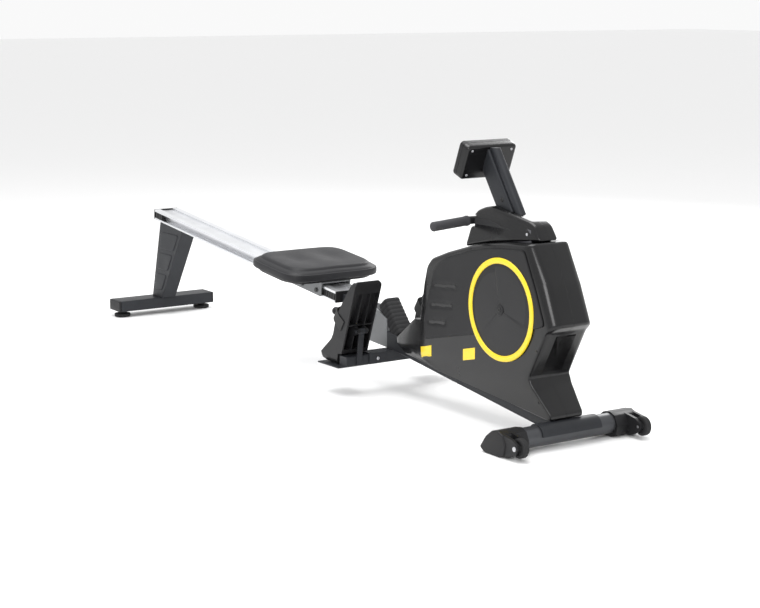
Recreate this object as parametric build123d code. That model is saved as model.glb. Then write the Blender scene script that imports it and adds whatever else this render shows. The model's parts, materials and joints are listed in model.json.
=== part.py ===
from build123d import *
import os
from math import atan2, cos, hypot, radians, sin, tan

# Folding magnetic rowing machine, in millimetres.  +X is the flywheel end, +Y the left
# side of the machine, +Z up.  The origin is on the floor under the middle of the machine.

# ---------------------------------------------------------------- driving dimensions
# front stabiliser and transport wheels
TUBE_X, TUBE_Z, TUBE_R, TUBE_HALF = 1136.0, 36.0, 28.0, 170.0
WALL = 2.0
CAP_INNER, CAP_OUTER = 150.0, 229.5
WHEEL_X, WHEEL_Z, WHEEL_R, WHEEL_Y, WHEEL_WIDTH = 1208.0, 35.0, 26.0, 207.0, 16.0
WHEEL_PIN_R = 4.0
FIT = 0.1                     # radial play of a part that turns on a pin

# main beam, which rises rearwards from the front tube
BEAM_HALF, BEAM_HEIGHT, BEAM_SLOPE = 30.0, 50.0, 0.1275
BEAM_FRONT, BEAM_REAR = 1128.0, 345.0
BEAM_FRONT_BOTTOM = 28.0

# housing
HOUSING_HALF, SHELL = 70.0, 3.5
RING_X, RING_Z, RING_R = 947.0, 337.5, 140.0
KNOB_X, KNOB_Z, KNOB_LEAN = 540.0, 326.0, -76.7

# drive
FLYWHEEL_R, FLYWHEEL_HALF = 115.0, 12.0
PLATE_IN, PLATE_OUT = 30.2, 34.2
REEL_X, REEL_Z, DRUM_R, REEL_FLANGE_R, PULLEY_R = 735.0, 320.0, 26.0, 42.0, 70.0
SMALL_PULLEY_R = 16.0
BELT_Y, BELT_HALF, BELT_THICK = 22.0, 5.0, 3.0
IDLER_X, IDLER_Z, IDLER_R = 1008.0, 544.0, 12.0
STRAP_GAP = 0.3                # between the strap and what it runs over
STRAP_THICK, STRAP_HALF = 2.0, 12.5
BRAKE_GAP, BRAKE_PIN_ANGLE, BRAKE_PIN_RADIUS = 3.5, 262.0, 130.0
MAGNET_HALF, BRACKET_HALF = 12.0, 15.0

# handle
HANDLE_X, HANDLE_Z, HANDLE_R, GRIP_R = 770.0, 557.0, 11.0, 13.5
HANDLE_STRAIGHT, HANDLE_ARM, HANDLE_DROOP = 46.0, 128.0, 4.2

# mast and console
MAST_BASE = (846.0, 0.0, 600.0)
MAST_AXIS, MAST_FRONT = (-0.5616, 0.0, 0.8274), (0.8274, 0.0, 0.5616)
MAST_HALF, MAST_DEPTH, NOSE_CENTRE, NOSE_R = 16.0, 56.0, 68.0, 13.0
MAST_BELOW = 112.0            # length of the mast's foot, inside the top cover
CONSOLE_CENTRE, CONSOLE_TILT = (776.0, 0.0, 723.0), 22.0
CONSOLE_HALF_W, CONSOLE_HALF_H, CONSOLE_HALF_D = 84.0, 50.0, 20.0

# rail, which rises rearwards
RAIL_X, RAIL_Z, RAIL_TILT = 88.0, 226.0, 6.0
RAIL_LENGTH, RAIL_HALF, RAIL_HEIGHT = 1244.0, 47.0, 36.0
CORE_HALF, CORE_IN_HALF, END_CAP = 28.0, 24.6, 5.0
ARM_HALF = 24.0
PIVOT_X, PIVOT_Z, PIVOT_R = 262.0, 212.0, 6.0
LOCK_X, LOCK_Z, LOCK_R = 145.0, 214.0, 5.0

# seat
SEAT_MID, SEAT_LONG, SEAT_WIDE, SEAT_THICK = -204.0, 280.0, 346.0, 44.0
BOARD_BOTTOM, BOARD_TOP = 47.0, 53.0
ROLLER_R, ROLLER_Z, ROLLER_PITCH, ROLLER_MID = 12.8, 17.5, 83.0, -187.0

# pedals
BAR_REAR, BAR_FRONT, BAR_BOTTOM, BAR_TOP, BAR_HALF = 330.0, 368.0, 90.0, 120.0, 188.0
PEDAL_Y, PEDAL_HALF = 145.0, 46.0
PEDAL_PIVOT = (383.0, 197.0)
PEDAL_PIN_R = 5.0

# rear leg
REAR_X, REAR_HALF_X, REAR_BOTTOM, REAR_TOP, REAR_HALF_Y = -1191.5, 42.5, 22.5, 62.0, 194.0
FOOT_Y, FOOT_R = 163.0, 29.5

os.makedirs("parts", exist_ok=True)


# ---------------------------------------------------------------- helpers
def prism(points, y0, y1, radius=0.0):
    """Extrude an X-Z outline from y0 to y1, its corners rounded by radius."""
    face = make_face(Polyline(*points, close=True))
    if radius:
        face = fillet(face.vertices(), radius)
    return extrude(Plane.XZ.offset(-y1) * face, y1 - y0)


def round_y(x, z, radius, y0, y1):
    """A cylinder along Y from y0 to y1."""
    return Pos(x, (y0 + y1) / 2, z) * Rot(90, 0, 0) * Cylinder(radius, y1 - y0)


def block(x0, x1, y0, y1, z0, z1):
    """A box between two corners."""
    return Pos((x0 + x1) / 2, (y0 + y1) / 2, (z0 + z1) / 2) * Box(x1 - x0, y1 - y0, z1 - z0)


def mirrored(shape):
    """The same shape on the other side of the machine."""
    return mirror(shape, Plane.XZ)


def both(shape):
    """A shape and its mirror image, as separate solids."""
    return [shape, mirrored(shape)]


def save(name, *shapes):
    """Write one node, as one solid or as a group of separate solids."""
    solids = [solid for shape in shapes for solid in shape.solids()]
    export_step(solids[0] if len(solids) == 1 else Compound(children=solids), f"parts/{name}.step")


def on_rail(shape):
    """Place a shape drawn with the rail's front lower edge at its origin."""
    return Location((RAIL_X, 0, RAIL_Z), (0, RAIL_TILT, 0)) * shape


def rail_local(x, z):
    """The rail's own coordinates of a point."""
    a = radians(RAIL_TILT)
    dx, dz = x - RAIL_X, z - RAIL_Z
    return dx * cos(a) - dz * sin(a), dx * sin(a) + dz * cos(a)


def beam_bottom(x):
    return BEAM_FRONT_BOTTOM + (BEAM_FRONT - x) * BEAM_SLOPE


def rail_bottom(x):
    return RAIL_Z + (RAIL_X - x) * tan(radians(RAIL_TILT))


# ---------------------------------------------------------------- front stabiliser
def front_stabiliser():
    tube = round_y(TUBE_X, TUBE_Z, TUBE_R, -TUBE_HALF, TUBE_HALF)
    return tube - round_y(TUBE_X, TUBE_Z, TUBE_R - WALL, -TUBE_HALF - 1, TUBE_HALF + 1)


def front_cap():
    """End cap with a sloping tail, a floor pad and a fork for the transport wheel."""
    body = prism([(1064, 12), (1090, 46), (1114, 64), (1140, 68), (1160, 60), (1172, 34),
                  (1166, 8), (1146, 0), (1086, 0)], CAP_INNER, CAP_OUTER, 6)
    outer_edges = body.edges().filter_by_position(Axis.Y, CAP_OUTER - 0.1, CAP_OUTER + 0.1)
    body = fillet(outer_edges, 4)
    body -= round_y(TUBE_X, TUBE_Z, TUBE_R + 0.05, CAP_INNER - 1, TUBE_HALF + 1)
    arm = [(1148, 64), (1196, 56), (1216, 46), (1220, 34), (1212, 22), (1190, 10), (1150, 5)]
    for inner, outer in ((188.0, 197.0), (217.0, 226.0)):
        body += prism(arm, inner, outer, 5)
    slot = block(1174, 1240, 197.0, 217.0, 0, 80)
    pin = round_y(WHEEL_X, WHEEL_Z, WHEEL_PIN_R, 180, 240)
    return body - slot - pin


def transport_wheel():
    wheel = round_y(WHEEL_X, WHEEL_Z, WHEEL_R, WHEEL_Y - WHEEL_WIDTH / 2, WHEEL_Y + WHEEL_WIDTH / 2)
    wheel = fillet(wheel.edges(), 2.5)
    for y0, y1 in ((WHEEL_Y - 9, WHEEL_Y - 4), (WHEEL_Y + 4, WHEEL_Y + 9)):
        recess = round_y(WHEEL_X, WHEEL_Z, 19, y0, y1) - round_y(WHEEL_X, WHEEL_Z, 8, y0, y1)
        wheel -= recess
    return wheel - round_y(WHEEL_X, WHEEL_Z, WHEEL_PIN_R + FIT, WHEEL_Y - 20, WHEEL_Y + 20)


def wheel_pin():
    pin = round_y(WHEEL_X, WHEEL_Z, WHEEL_PIN_R, 188, 226)
    return pin + round_y(WHEEL_X, WHEEL_Z, 6.5, 226, 229)


# ---------------------------------------------------------------- frame
def main_beam():
    """Box beam with the saddle that clamps it to the front tube."""
    outline = [(BEAM_FRONT, beam_bottom(BEAM_FRONT)), (BEAM_REAR, beam_bottom(BEAM_REAR)),
               (BEAM_REAR, beam_bottom(BEAM_REAR) + BEAM_HEIGHT),
               (BEAM_FRONT, beam_bottom(BEAM_FRONT) + BEAM_HEIGHT)]
    beam = prism(outline, -BEAM_HALF, BEAM_HALF)
    beam = fillet(beam.edges().filter_by(Axis((0, 0, 0), (1, 0, -BEAM_SLOPE))), 5)
    inner = [(BEAM_FRONT - WALL, beam_bottom(BEAM_FRONT) + 3), (BEAM_REAR + WALL, beam_bottom(BEAM_REAR) + 3),
             (BEAM_REAR + WALL, beam_bottom(BEAM_REAR) + BEAM_HEIGHT - 3),
             (BEAM_FRONT - WALL, beam_bottom(BEAM_FRONT) + BEAM_HEIGHT - 3)]
    beam -= prism(inner, -BEAM_HALF + 3, BEAM_HALF - 3)
    saddle_r = TUBE_R + 4
    hug = round_y(TUBE_X, TUBE_Z, saddle_r, -100, 100)
    hug = hug & block(TUBE_X - 40, TUBE_X + 40, -110, 110, TUBE_Z + 2, TUBE_Z + 50)
    beam = beam + hug + crossbar_saddle()
    return beam - round_y(TUBE_X, TUBE_Z, TUBE_R, -120, 120)


def neck_post():
    """Leaning post that carries the hinge bracket, on the rear end of the beam."""
    outline = [(402, 160), (330, 252), (320, 268), (300, 268), (294, 258), (294, 205), (345, 150)]
    post = prism(outline, -25, 25)
    post = fillet(post.edges().filter_by(GeomType.LINE).filter_by(Axis((0, 0, 0), (-72, 0, 92))), 9)
    beam = prism([(BEAM_REAR, beam_bottom(BEAM_REAR)), (BEAM_REAR, beam_bottom(BEAM_REAR) + BEAM_HEIGHT),
                  (430, beam_bottom(430) + BEAM_HEIGHT), (430, beam_bottom(430))], -40, 40)
    return post - beam


def hinge_bracket():
    """Two cheeks and a web, welded to the rear end of the beam."""
    cheek = [(BEAM_REAR, 128), (250, 134), (128, 198), (128, 234), (280, 240), (BEAM_REAR, 214)]
    cheeks = prism(cheek, -30.2, 30.2) - prism([(100, 100), (100, 300), (400, 300), (400, 100)], -25.2, 25.2)
    web = prism([(BEAM_REAR, 128), (250, 134), (250, 140), (BEAM_REAR, 134)], -25.2, 25.2)
    bracket = cheeks.solids()[0] + cheeks.solids()[1] + web
    bracket -= round_y(PIVOT_X, PIVOT_Z, PIVOT_R, -40, 40)
    return bracket - round_y(LOCK_X, LOCK_Z, LOCK_R + FIT, -40, 0)


def pedal_crossbar():
    """Rectangular tube with a heel plate welded under each end."""
    bar = block(BAR_REAR, BAR_FRONT, -BAR_HALF, BAR_HALF, BAR_BOTTOM, BAR_TOP)
    bar = fillet(bar.edges().filter_by(Axis.Y), 3)
    bar -= block(BAR_REAR + WALL, BAR_FRONT - WALL, -BAR_HALF - 1, BAR_HALF + 1, BAR_BOTTOM + WALL, BAR_TOP - WALL)
    for side in (-1, 1):
        plate = block(239, 352, 100, 207, BAR_BOTTOM - 4, BAR_BOTTOM)
        plug = block(BAR_REAR + WALL, BAR_FRONT - WALL, BAR_HALF - 3, BAR_HALF, BAR_BOTTOM + WALL, BAR_TOP - WALL)
        bar += plate + plug if side > 0 else mirrored(plate) + mirrored(plug)
    return bar


def crossbar_saddle():
    """Folded plate over the crossbar, welded under the beam."""
    outer = block(BAR_REAR - 4, BAR_FRONT + 4, -110, 110, BAR_BOTTOM + 1, BAR_TOP + 4)
    outer += block(BEAM_REAR, BAR_FRONT + 4, -BEAM_HALF, BEAM_HALF, BAR_TOP + 2, BAR_TOP + 9)
    return outer - block(BAR_REAR, BAR_FRONT, -111, 111, BAR_BOTTOM - 1, BAR_TOP)


def axle_plate():
    """Side plate that holds the flywheel axle, the reel shaft, the idler and the mast."""
    outline = [(700, 112), (1010, 84), (1010, 150), (1022, 520), (1022, 556), (992, 560), (960, 548),
               (930, 562), (898, 562), (838, 500), (700, 345)]
    plate = prism(outline, PLATE_IN, PLATE_OUT)
    plate -= round_y(850, 190, 42, 20, 50)
    for x, z, r in ((RING_X, RING_Z, 6.0), (REEL_X, REEL_Z, 6.0), (IDLER_X, IDLER_Z, 4.0),
                    (brake_pin()[0], brake_pin()[1], 4.0)):
        plate -= round_y(x, z, r, 20, 50)
    return plate


# ---------------------------------------------------------------- drive
def brake_pin():
    a = radians(BRAKE_PIN_ANGLE)
    return RING_X + BRAKE_PIN_RADIUS * cos(a), RING_Z + BRAKE_PIN_RADIUS * sin(a)


def flywheel():
    """Heavy rim, thin web, hub and the small belt pulley on its left side."""
    wheel = round_y(RING_X, RING_Z, FLYWHEEL_R, -FLYWHEEL_HALF, FLYWHEEL_HALF)
    for y0, y1 in ((-FLYWHEEL_HALF - 1, -4), (4, FLYWHEEL_HALF + 1)):
        wheel -= round_y(RING_X, RING_Z, 100, y0, y1) - round_y(RING_X, RING_Z, 22, y0, y1)
    wheel += round_y(RING_X, RING_Z, SMALL_PULLEY_R, FLYWHEEL_HALF, BELT_Y + BELT_HALF + 1)
    return wheel - round_y(RING_X, RING_Z, 11, -40, 40)


def bearing(y0):
    ring = round_y(RING_X, RING_Z, 11, y0, y0 + 8)
    return ring - round_y(RING_X, RING_Z, 6.0 + FIT, y0 - 1, y0 + 9)


def shafts():
    """Flywheel axle, reel shaft, idler pin and brake pin, all fixed in the side plates."""
    return [round_y(RING_X, RING_Z, 6.0, -42, 42), round_y(REEL_X, REEL_Z, 6.0, -40, 40),
            round_y(IDLER_X, IDLER_Z, 4.0, -37, 37), round_y(*brake_pin(), 4.0, -37, 37)]


def strap_reel():
    """Drum with flanges for the pull strap and a grooved pulley for the belt."""
    reel = round_y(REEL_X, REEL_Z, DRUM_R, -14, 14)
    for y0 in (-16, 13):
        reel += round_y(REEL_X, REEL_Z, REEL_FLANGE_R, y0, y0 + 2)
    reel += round_y(REEL_X, REEL_Z, PULLEY_R, BELT_Y - BELT_HALF - 1, BELT_Y + BELT_HALF + 1)
    for step in range(5):
        angle = radians(72 * step)
        reel -= round_y(REEL_X + 53 * cos(angle), REEL_Z + 53 * sin(angle), 9, 14, 40)
    return reel - round_y(REEL_X, REEL_Z, 6.0 + FIT, -40, 40)


def recoil_spring():
    """Flat spiral spring in its case, held on the right side plate."""
    case = round_y(REEL_X, REEL_Z, 38, -29.5, -18) - round_y(REEL_X, REEL_Z, 36, -28, -17)
    case -= round_y(REEL_X, REEL_Z, 6.0, -35, -10)
    rings = [round_y(REEL_X, REEL_Z, r, -27, -19) - round_y(REEL_X, REEL_Z, r - 1.2, -28, -18)
             for r in range(14, 35, 4)]
    return [case] + rings


def belt_loop(extra):
    circles = [Pos(REEL_X, REEL_Z) * Circle(PULLEY_R + extra), Pos(RING_X, RING_Z) * Circle(SMALL_PULLEY_R + extra)]
    return make_hull(circles[0].edges() + circles[1].edges())


def drive_belt():
    face = belt_loop(0.3 + BELT_THICK) - belt_loop(0.3)
    return extrude(Plane.XZ.offset(-(BELT_Y + BELT_HALF)) * face, 2 * BELT_HALF)


def idler_roller():
    roller = round_y(IDLER_X, IDLER_Z, IDLER_R, -14, 14)
    for y0 in (-17, 14):
        roller += round_y(IDLER_X, IDLER_Z, IDLER_R + 3, y0, y0 + 3)
    return roller - round_y(IDLER_X, IDLER_Z, 4.0 + FIT, -20, 20)


def arc_band(inner, outer, start, end, half):
    """Part of a ring about the flywheel axle, between two angles from +X towards +Z."""
    ring = round_y(RING_X, RING_Z, outer, -half, half) - round_y(RING_X, RING_Z, inner, -half - 1, half + 1)
    reach = 400.0
    wedge = [(RING_X, RING_Z)]
    for step in range(4):
        angle = radians(start + (end - start) * step / 3)
        wedge.append((RING_X + reach * cos(angle), RING_Z + reach * sin(angle)))
    return ring & prism(wedge, -half - 1, half + 1)


def magnet_bracket():
    base = FLYWHEEL_R + BRAKE_GAP + 5
    bracket = arc_band(base, base + 4, 198, 258, BRACKET_HALF)
    bracket += arc_band(base, base + 13, 256, BRAKE_PIN_ANGLE + 4, BRACKET_HALF)
    return bracket - round_y(*brake_pin(), 4.0 + FIT, -30, 30)


def brake_magnets():
    inner = FLYWHEEL_R + BRAKE_GAP
    return [arc_band(inner, inner + 5, start, start + 9, MAGNET_HALF) for start in range(202, 250, 12)]


# ---------------------------------------------------------------- housing
HOUSING = [(1062, 527), (1122, 424), (1165, 322), (1139, 302), (1068, 172), (1078, 152), (1141, 84),
           (1141, 70), (1112, 68), (452, 129), (404, 150), (400, 172), (524, 248), (560, 252),
           (586, 362), (600, 412), (622, 436), (694, 462), (798, 492), (866, 506), (952, 518)]


def housing_half(inset):
    """Left half of the housing's envelope, drawn in by inset."""
    face = make_face(Polyline(*HOUSING, close=True))
    if inset:
        face = offset(face, -inset, kind=Kind.INTERSECTION)
    half = extrude(Plane.XZ.offset(-(HOUSING_HALF - inset)) * face, HOUSING_HALF - inset)
    cuts = [
        ((1165, 38, 322), (0.634, 0.70, 0.335)),      # bevel beside the upper front face
        ((1139, 60, 302), (0.634, 0.70, -0.335)),     # bevel beside the chin
        ((590, 70, 300), (-0.185, 1.0, 0.0)),         # taper towards the neck
        ((950, 70, 158), (0.0, 1.0, -0.19)),          # taper towards the beam
        ((700, 62, 464), (-0.19, 0.78, 0.62)),        # bevel along the top
    ]
    for point, normal in cuts:
        plane = Plane(origin=point, z_dir=normal)
        half = split(half, bisect_by=plane.offset(-inset), keep=Keep.BOTTOM)
    return half


COVER_SCREWS = ((806, 485), (975, 512), (606, 358), (1098, 250), (1098, 112), (560, 150))


def panel_outline(gap):
    """The inset side panel, which stops short of the housing's edge."""
    points = [(600, 198), (596, 262), (642, 404), (660, 424), (700, 446), (812, 480), (908, 500),
              (1040, 509), (1090, 410), (1128, 320), (1096, 309), (850, 258)]
    face = make_face(Polyline(*points, close=True))
    face = fillet(face.vertices(), 10)
    return offset(face, gap) if gap else face


def chin_slice(half_width):
    """The part of the housing's space that the chin cover fills."""
    return prism([(1180, 291), (1100, 291), (1040, 184), (1110, 184)], 0, half_width)


def screw_y(x, z):
    """How far out a cover screw's head lies on the tapering side."""
    return HOUSING_HALF - 1.5 + min(0, 0.19 * (z - 158)) + min(0, 0.185 * (x - 590))


def housing_wall():
    return housing_half(0) - housing_half(SHELL)


def housing_shell():
    """Left half shell, open for the beam, the neck post, the strap, the mast and the knob."""
    shell = housing_wall()
    shell -= extrude(Plane.XZ.offset(-(HOUSING_HALF + 1)) * panel_outline(1.2), 2.5)
    shell -= block(800, 1040, -1, 37, 470, 540)
    shell -= prism([(1150, 20), (300, 20), (300, beam_bottom(300) + BEAM_HEIGHT + 0.5),
                    (1150, beam_bottom(1150) + BEAM_HEIGHT + 0.5)], -1, BEAM_HALF + 0.5)
    shell -= prism([(300, 120), (430, 150), (402, 162), (330, 252), (300, 260)], -1, 26)
    shell -= chin_slice(34.3)
    shell -= knob_place(Cylinder(7.5, 120))
    for x, z in COVER_SCREWS:
        shell -= round_y(x, z, 4.3, 40, 90)
    return shell.solids().sort_by(SortBy.VOLUME)[-1]


def side_panel():
    panel = extrude(Plane.XZ.offset(-(HOUSING_HALF + 1.5)) * panel_outline(0), 3.0)
    for z, length in ((385, 150), (330, 130), (275, 110)):
        louvre = prism([(612, z - 9), (612 + length, z + 8), (608 + length, z - 12), (612, z - 28)], 70.0, 73, 5)
        panel -= louvre
    return panel


def trim_ring():
    ring = round_y(RING_X, RING_Z, RING_R, HOUSING_HALF + 1.5, HOUSING_HALF + 6)
    ring -= round_y(RING_X, RING_Z, RING_R * 0.88, HOUSING_HALF, HOUSING_HALF + 8)
    return fillet(ring.edges().filter_by_position(Axis.Y, HOUSING_HALF + 5.9, HOUSING_HALF + 6.1), 1.5)


def disc_cover():
    disc = round_y(RING_X, RING_Z, RING_R * 0.88, HOUSING_HALF + 1.5, HOUSING_HALF + 4)
    return disc + round_y(RING_X, RING_Z, 12, HOUSING_HALF + 4, HOUSING_HALF + 9)


def top_cover(y0, y1):
    """Slice of the handle cradle between two distances from the middle."""
    points = [(756, 483), (774, 540), (778, 566), (794, 588), (822, 598), (856, 605), (1016, 577),
              (1034, 568), (1060, 531), (1056, 528), (952, 519.5), (866, 507.5), (798, 493.5)]
    cover = prism(points, y0, y1)
    way = block(740, HANDLE_X, y0 - 1, y1 + 1, HANDLE_Z - 15, HANDLE_Z + 15)
    return cover - way - round_y(HANDLE_X, HANDLE_Z, 15, y0 - 1, y1 + 1)


def top_cover_side():
    """Hollow left cheek with the dark tapering recess for the handle."""
    cheek = top_cover(24.2, 52)
    cheek = split(cheek, bisect_by=Plane(origin=(900, 52, 520), z_dir=(0.0, 1.0, 0.16)), keep=Keep.BOTTOM)
    recess = prism([(770, 545), (770, 569), (880, 562), (950, 545)], 38, 60)
    return cheek - recess - block(800, 1026, 24, 38, 480, 566)


def top_cover_band():
    """Hollow middle of the cradle, with the slot for the strap and the socket of the mast."""
    band = top_cover(-24, 24)
    band -= prism([(802, 470), (802, 575), (1024, 563), (1046, 505), (1046, 470)], -25, 25)
    band -= block(760, 812, -15, 15, HANDLE_Z - 8, HANDLE_Z + 8)
    band -= mast_envelope(0.4)
    return band.solids().sort_by(SortBy.VOLUME)[-1]


def chin_cover():
    """Flush cover of the chin, between the two half shells."""
    half = housing_wall() & chin_slice(34)
    return (half + mirrored(half)).solids().sort_by(SortBy.VOLUME)[-1]


def knob_place(shape):
    """Put a shape drawn about Z on the knob's axis, square to the housing's rear face."""
    return Location((KNOB_X, 0, KNOB_Z), (0, KNOB_LEAN, 0)) * shape


def resistance_knob():
    """Fluted knob on a short stem that passes through the housing."""
    knob = Cylinder(25, 24) - Pos(0, 0, 11) * Cylinder(18, 4)
    knob = fillet(knob.edges().filter_by_position(Axis.Z, 11.9, 12.1), 2)
    for step in range(12):
        knob -= Rot(0, 0, 30 * step) * Pos(27.5, 0, 0) * Cylinder(4, 30)
    knob += Pos(0, 0, -28) * Cylinder(7, 36)
    return knob_place(knob)


# ---------------------------------------------------------------- mast and console
def mast_envelope(gap):
    plane = Plane(origin=MAST_BASE, x_dir=MAST_FRONT, z_dir=MAST_AXIS)
    section = Pos(MAST_DEPTH / 2, 0) * RectangleRounded(MAST_DEPTH + 2 * gap, 2 * (MAST_HALF + gap), 6)
    section += Pos(NOSE_CENTRE - 8, 0) * Rectangle(20, 2 * (NOSE_R - 4 + gap))
    section += Pos(NOSE_CENTRE, 0) * Circle(NOSE_R + gap)
    return extrude(plane.offset(-MAST_BELOW - gap) * section, 340)


def console_plane(depth=0.0):
    a = radians(CONSOLE_TILT)
    plane = Plane(origin=CONSOLE_CENTRE, x_dir=(0, -1, 0), z_dir=(-cos(a), 0, sin(a)))
    return plane.offset(depth)


def mast():
    """Flat-sided tube with a rounded nose, cut off at the console's back."""
    post = mast_envelope(0)
    post = split(post, bisect_by=console_plane(-CONSOLE_HALF_D), keep=Keep.BOTTOM)
    post = split(post, bisect_by=Plane(origin=(0, 0, 757), z_dir=(0, 0, 1)), keep=Keep.BOTTOM)
    plane = Plane(origin=MAST_BASE, x_dir=MAST_FRONT, z_dir=MAST_AXIS)
    bore = Pos(MAST_DEPTH / 2, 0) * RectangleRounded(MAST_DEPTH - 6, 2 * MAST_HALF - 6, 4)
    post -= extrude(plane.offset(-MAST_BELOW - 1) * bore, 220)
    for along, out in ((-76, 28), (-102, 28)):
        x = MAST_BASE[0] + out * MAST_FRONT[0] + along * MAST_AXIS[0]
        z = MAST_BASE[2] + out * MAST_FRONT[2] + along * MAST_AXIS[2]
        for boss in both(round_y(x, z, 8, MAST_HALF - 2.5, PLATE_IN)):
            post += boss
    strap_way = block(800, 1040, -13.5, 13.5, HANDLE_Z - 7, HANDLE_Z + 8)
    return post - strap_way


def console_block(depth0, depth1, half_w, half_h, radius):
    section = RectangleRounded(2 * half_w, 2 * half_h, radius)
    return extrude(console_plane(depth0) * section, depth1 - depth0)


BUTTONS = (-34.0, 0.0, 34.0)
BUTTON_DROP, BUTTON_R = -33.0, 8.0


def console_back():
    body = console_block(-CONSOLE_HALF_D, 4, CONSOLE_HALF_W, CONSOLE_HALF_H, 12)
    back = body.faces().sort_by(Axis(CONSOLE_CENTRE, tuple(console_plane().z_dir)))[0]
    body = fillet(back.edges(), 8)
    return body - console_block(-CONSOLE_HALF_D + 3, 6, CONSOLE_HALF_W - 3, CONSOLE_HALF_H - 3, 9)


def console_front():
    """Bezel with the window for the lens and the holes for the buttons."""
    body = console_block(4.2, CONSOLE_HALF_D, CONSOLE_HALF_W, CONSOLE_HALF_H, 12)
    front = body.faces().sort_by(Axis(CONSOLE_CENTRE, tuple(console_plane().z_dir)))[-1]
    body = fillet(front.edges(), 4)
    body -= console_block(4, CONSOLE_HALF_D - 3, CONSOLE_HALF_W - 3, CONSOLE_HALF_H - 3, 9)
    window = console_plane(10) * Pos(0, 10) * RectangleRounded(124, 56, 5)
    body -= extrude(window, 20)
    for x in BUTTONS:
        hole = console_plane(10) * Pos(x, BUTTON_DROP) * Circle(BUTTON_R + 0.3)
        body -= extrude(hole, 20)
    return body


def console_lens():
    section = console_plane(CONSOLE_HALF_D - 6) * Pos(0, 10) * RectangleRounded(123.6, 55.6, 5)
    return extrude(section, 4.5)


def console_button(x):
    cap = extrude(console_plane(CONSOLE_HALF_D - 8) * Pos(x, BUTTON_DROP) * Circle(BUTTON_R), 10)
    return cap + extrude(console_plane(CONSOLE_HALF_D - 9.5) * Pos(x, BUTTON_DROP) * Circle(BUTTON_R + 2), 1.5)


# ---------------------------------------------------------------- handle and strap
def handle_arm(radius, start, end):
    """A drooping cylinder on the left of the handle, from start to end along it."""
    place = Location((HANDLE_X, HANDLE_STRAIGHT, HANDLE_Z), (-90 - HANDLE_DROOP, 0, 0))
    return place * Pos(0, 0, (start + end) / 2) * Cylinder(radius, end - start)


def handle_bar():
    bar = round_y(HANDLE_X, HANDLE_Z, HANDLE_R, -HANDLE_STRAIGHT, HANDLE_STRAIGHT)
    for knuckle in both(Pos(HANDLE_X, HANDLE_STRAIGHT, HANDLE_Z) * Sphere(HANDLE_R)):
        bar += knuckle
    for arm in both(handle_arm(HANDLE_R, 0, HANDLE_ARM - 2)):
        bar += arm
    lug = block(HANDLE_X, HANDLE_X + 18, -9, 9, HANDLE_Z - 6, HANDLE_Z + 6)
    return bar + lug


def handle_grip():
    grip = handle_arm(GRIP_R, 6, HANDLE_ARM)
    return grip - handle_arm(HANDLE_R, 0, HANDLE_ARM - 2)


def pull_strap():
    """Straight run of webbing from the handle to the guide roller."""
    bottom = IDLER_Z + IDLER_R + STRAP_GAP
    return block(HANDLE_X + 18.5, IDLER_X, -STRAP_HALF, STRAP_HALF, bottom, bottom + STRAP_THICK)


def strap_return():
    """Webbing that goes round the guide roller and down to the top of the reel."""
    r_idler = IDLER_R + STRAP_THICK / 2 + STRAP_GAP
    r_drum = DRUM_R + STRAP_THICK / 2 + STRAP_GAP
    dx, dz = REEL_X - IDLER_X, REEL_Z - IDLER_Z
    gap = hypot(dx, dz)
    ux, uz = dx / gap, dz / gap
    lean = (r_idler + r_drum) / gap
    keep = (1 - lean * lean) ** 0.5
    nx, nz = -uz * keep + ux * lean, ux * keep + uz * lean
    first = (IDLER_X, IDLER_Z + r_idler)
    half_turn = (radians(90) + atan2(nz, nx)) / 2
    middle = (IDLER_X + r_idler * cos(half_turn), IDLER_Z + r_idler * sin(half_turn))
    last = (IDLER_X + r_idler * nx, IDLER_Z + r_idler * nz)
    end = (REEL_X - r_drum * nx, REEL_Z - r_drum * nz)
    path = Plane.XZ * (ThreePointArc(first, middle, last) + Line(last, end))
    start = Plane(origin=(first[0], 0, first[1]), x_dir=(0, 1, 0), z_dir=(1, 0, 0))
    return sweep(start * Rectangle(2 * STRAP_HALF, STRAP_THICK), path=path)


# ---------------------------------------------------------------- pedals
SOLE_HEEL, SOLE_TOE = (268.0, 104.0), (415.0, 340.0)


def pedal():
    """Left footplate: side walls, heel cup and a ribbed back, with lugs for its pin."""
    y0, y1 = PEDAL_Y - PEDAL_HALF, PEDAL_Y + PEDAL_HALF
    outline = [(344, 126), (422, 340), (420, 350), (404, 346), (341, 268), (313, 226), (299, 180),
               (288, 163), (232, 118), (240, 100), (258, 92), (318, 92), (325, 125)]
    body = prism(outline, y0, y1, 2)
    shoe = [SOLE_HEEL, SOLE_TOE, (380, 420), (150, 250), (244, 122)]
    body -= prism(shoe, y0 + 7, y1 - 7)
    for cell in range(3):
        start = y0 + 5 + cell * 28.5
        body -= prism([(298, 138), (372, 138), (398, 212), (345, 212)], start, start + 25)
        body -= prism([(349, 216), (399, 216), (434, 314), (402, 310)], start, start + 25)
    front_view = Pos(PEDAL_Y, (BAR_BOTTOM + 350) / 2) * RectangleRounded(2 * PEDAL_HALF, 264, 22)
    body &= extrude(Plane.YZ.offset(200) * front_view, 260)
    x, z = PEDAL_PIVOT
    for y_lug in (PEDAL_Y - 17.5, PEDAL_Y + 10.0):
        lug = prism([(340, 172), (x, z - 9), (x, z + 9), (350, 222)], y_lug, y_lug + 7.5)
        body += lug + round_y(x, z, 9, y_lug, y_lug + 7.5)
    return body - round_y(x, z, PEDAL_PIN_R + FIT, y0, y1)


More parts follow.
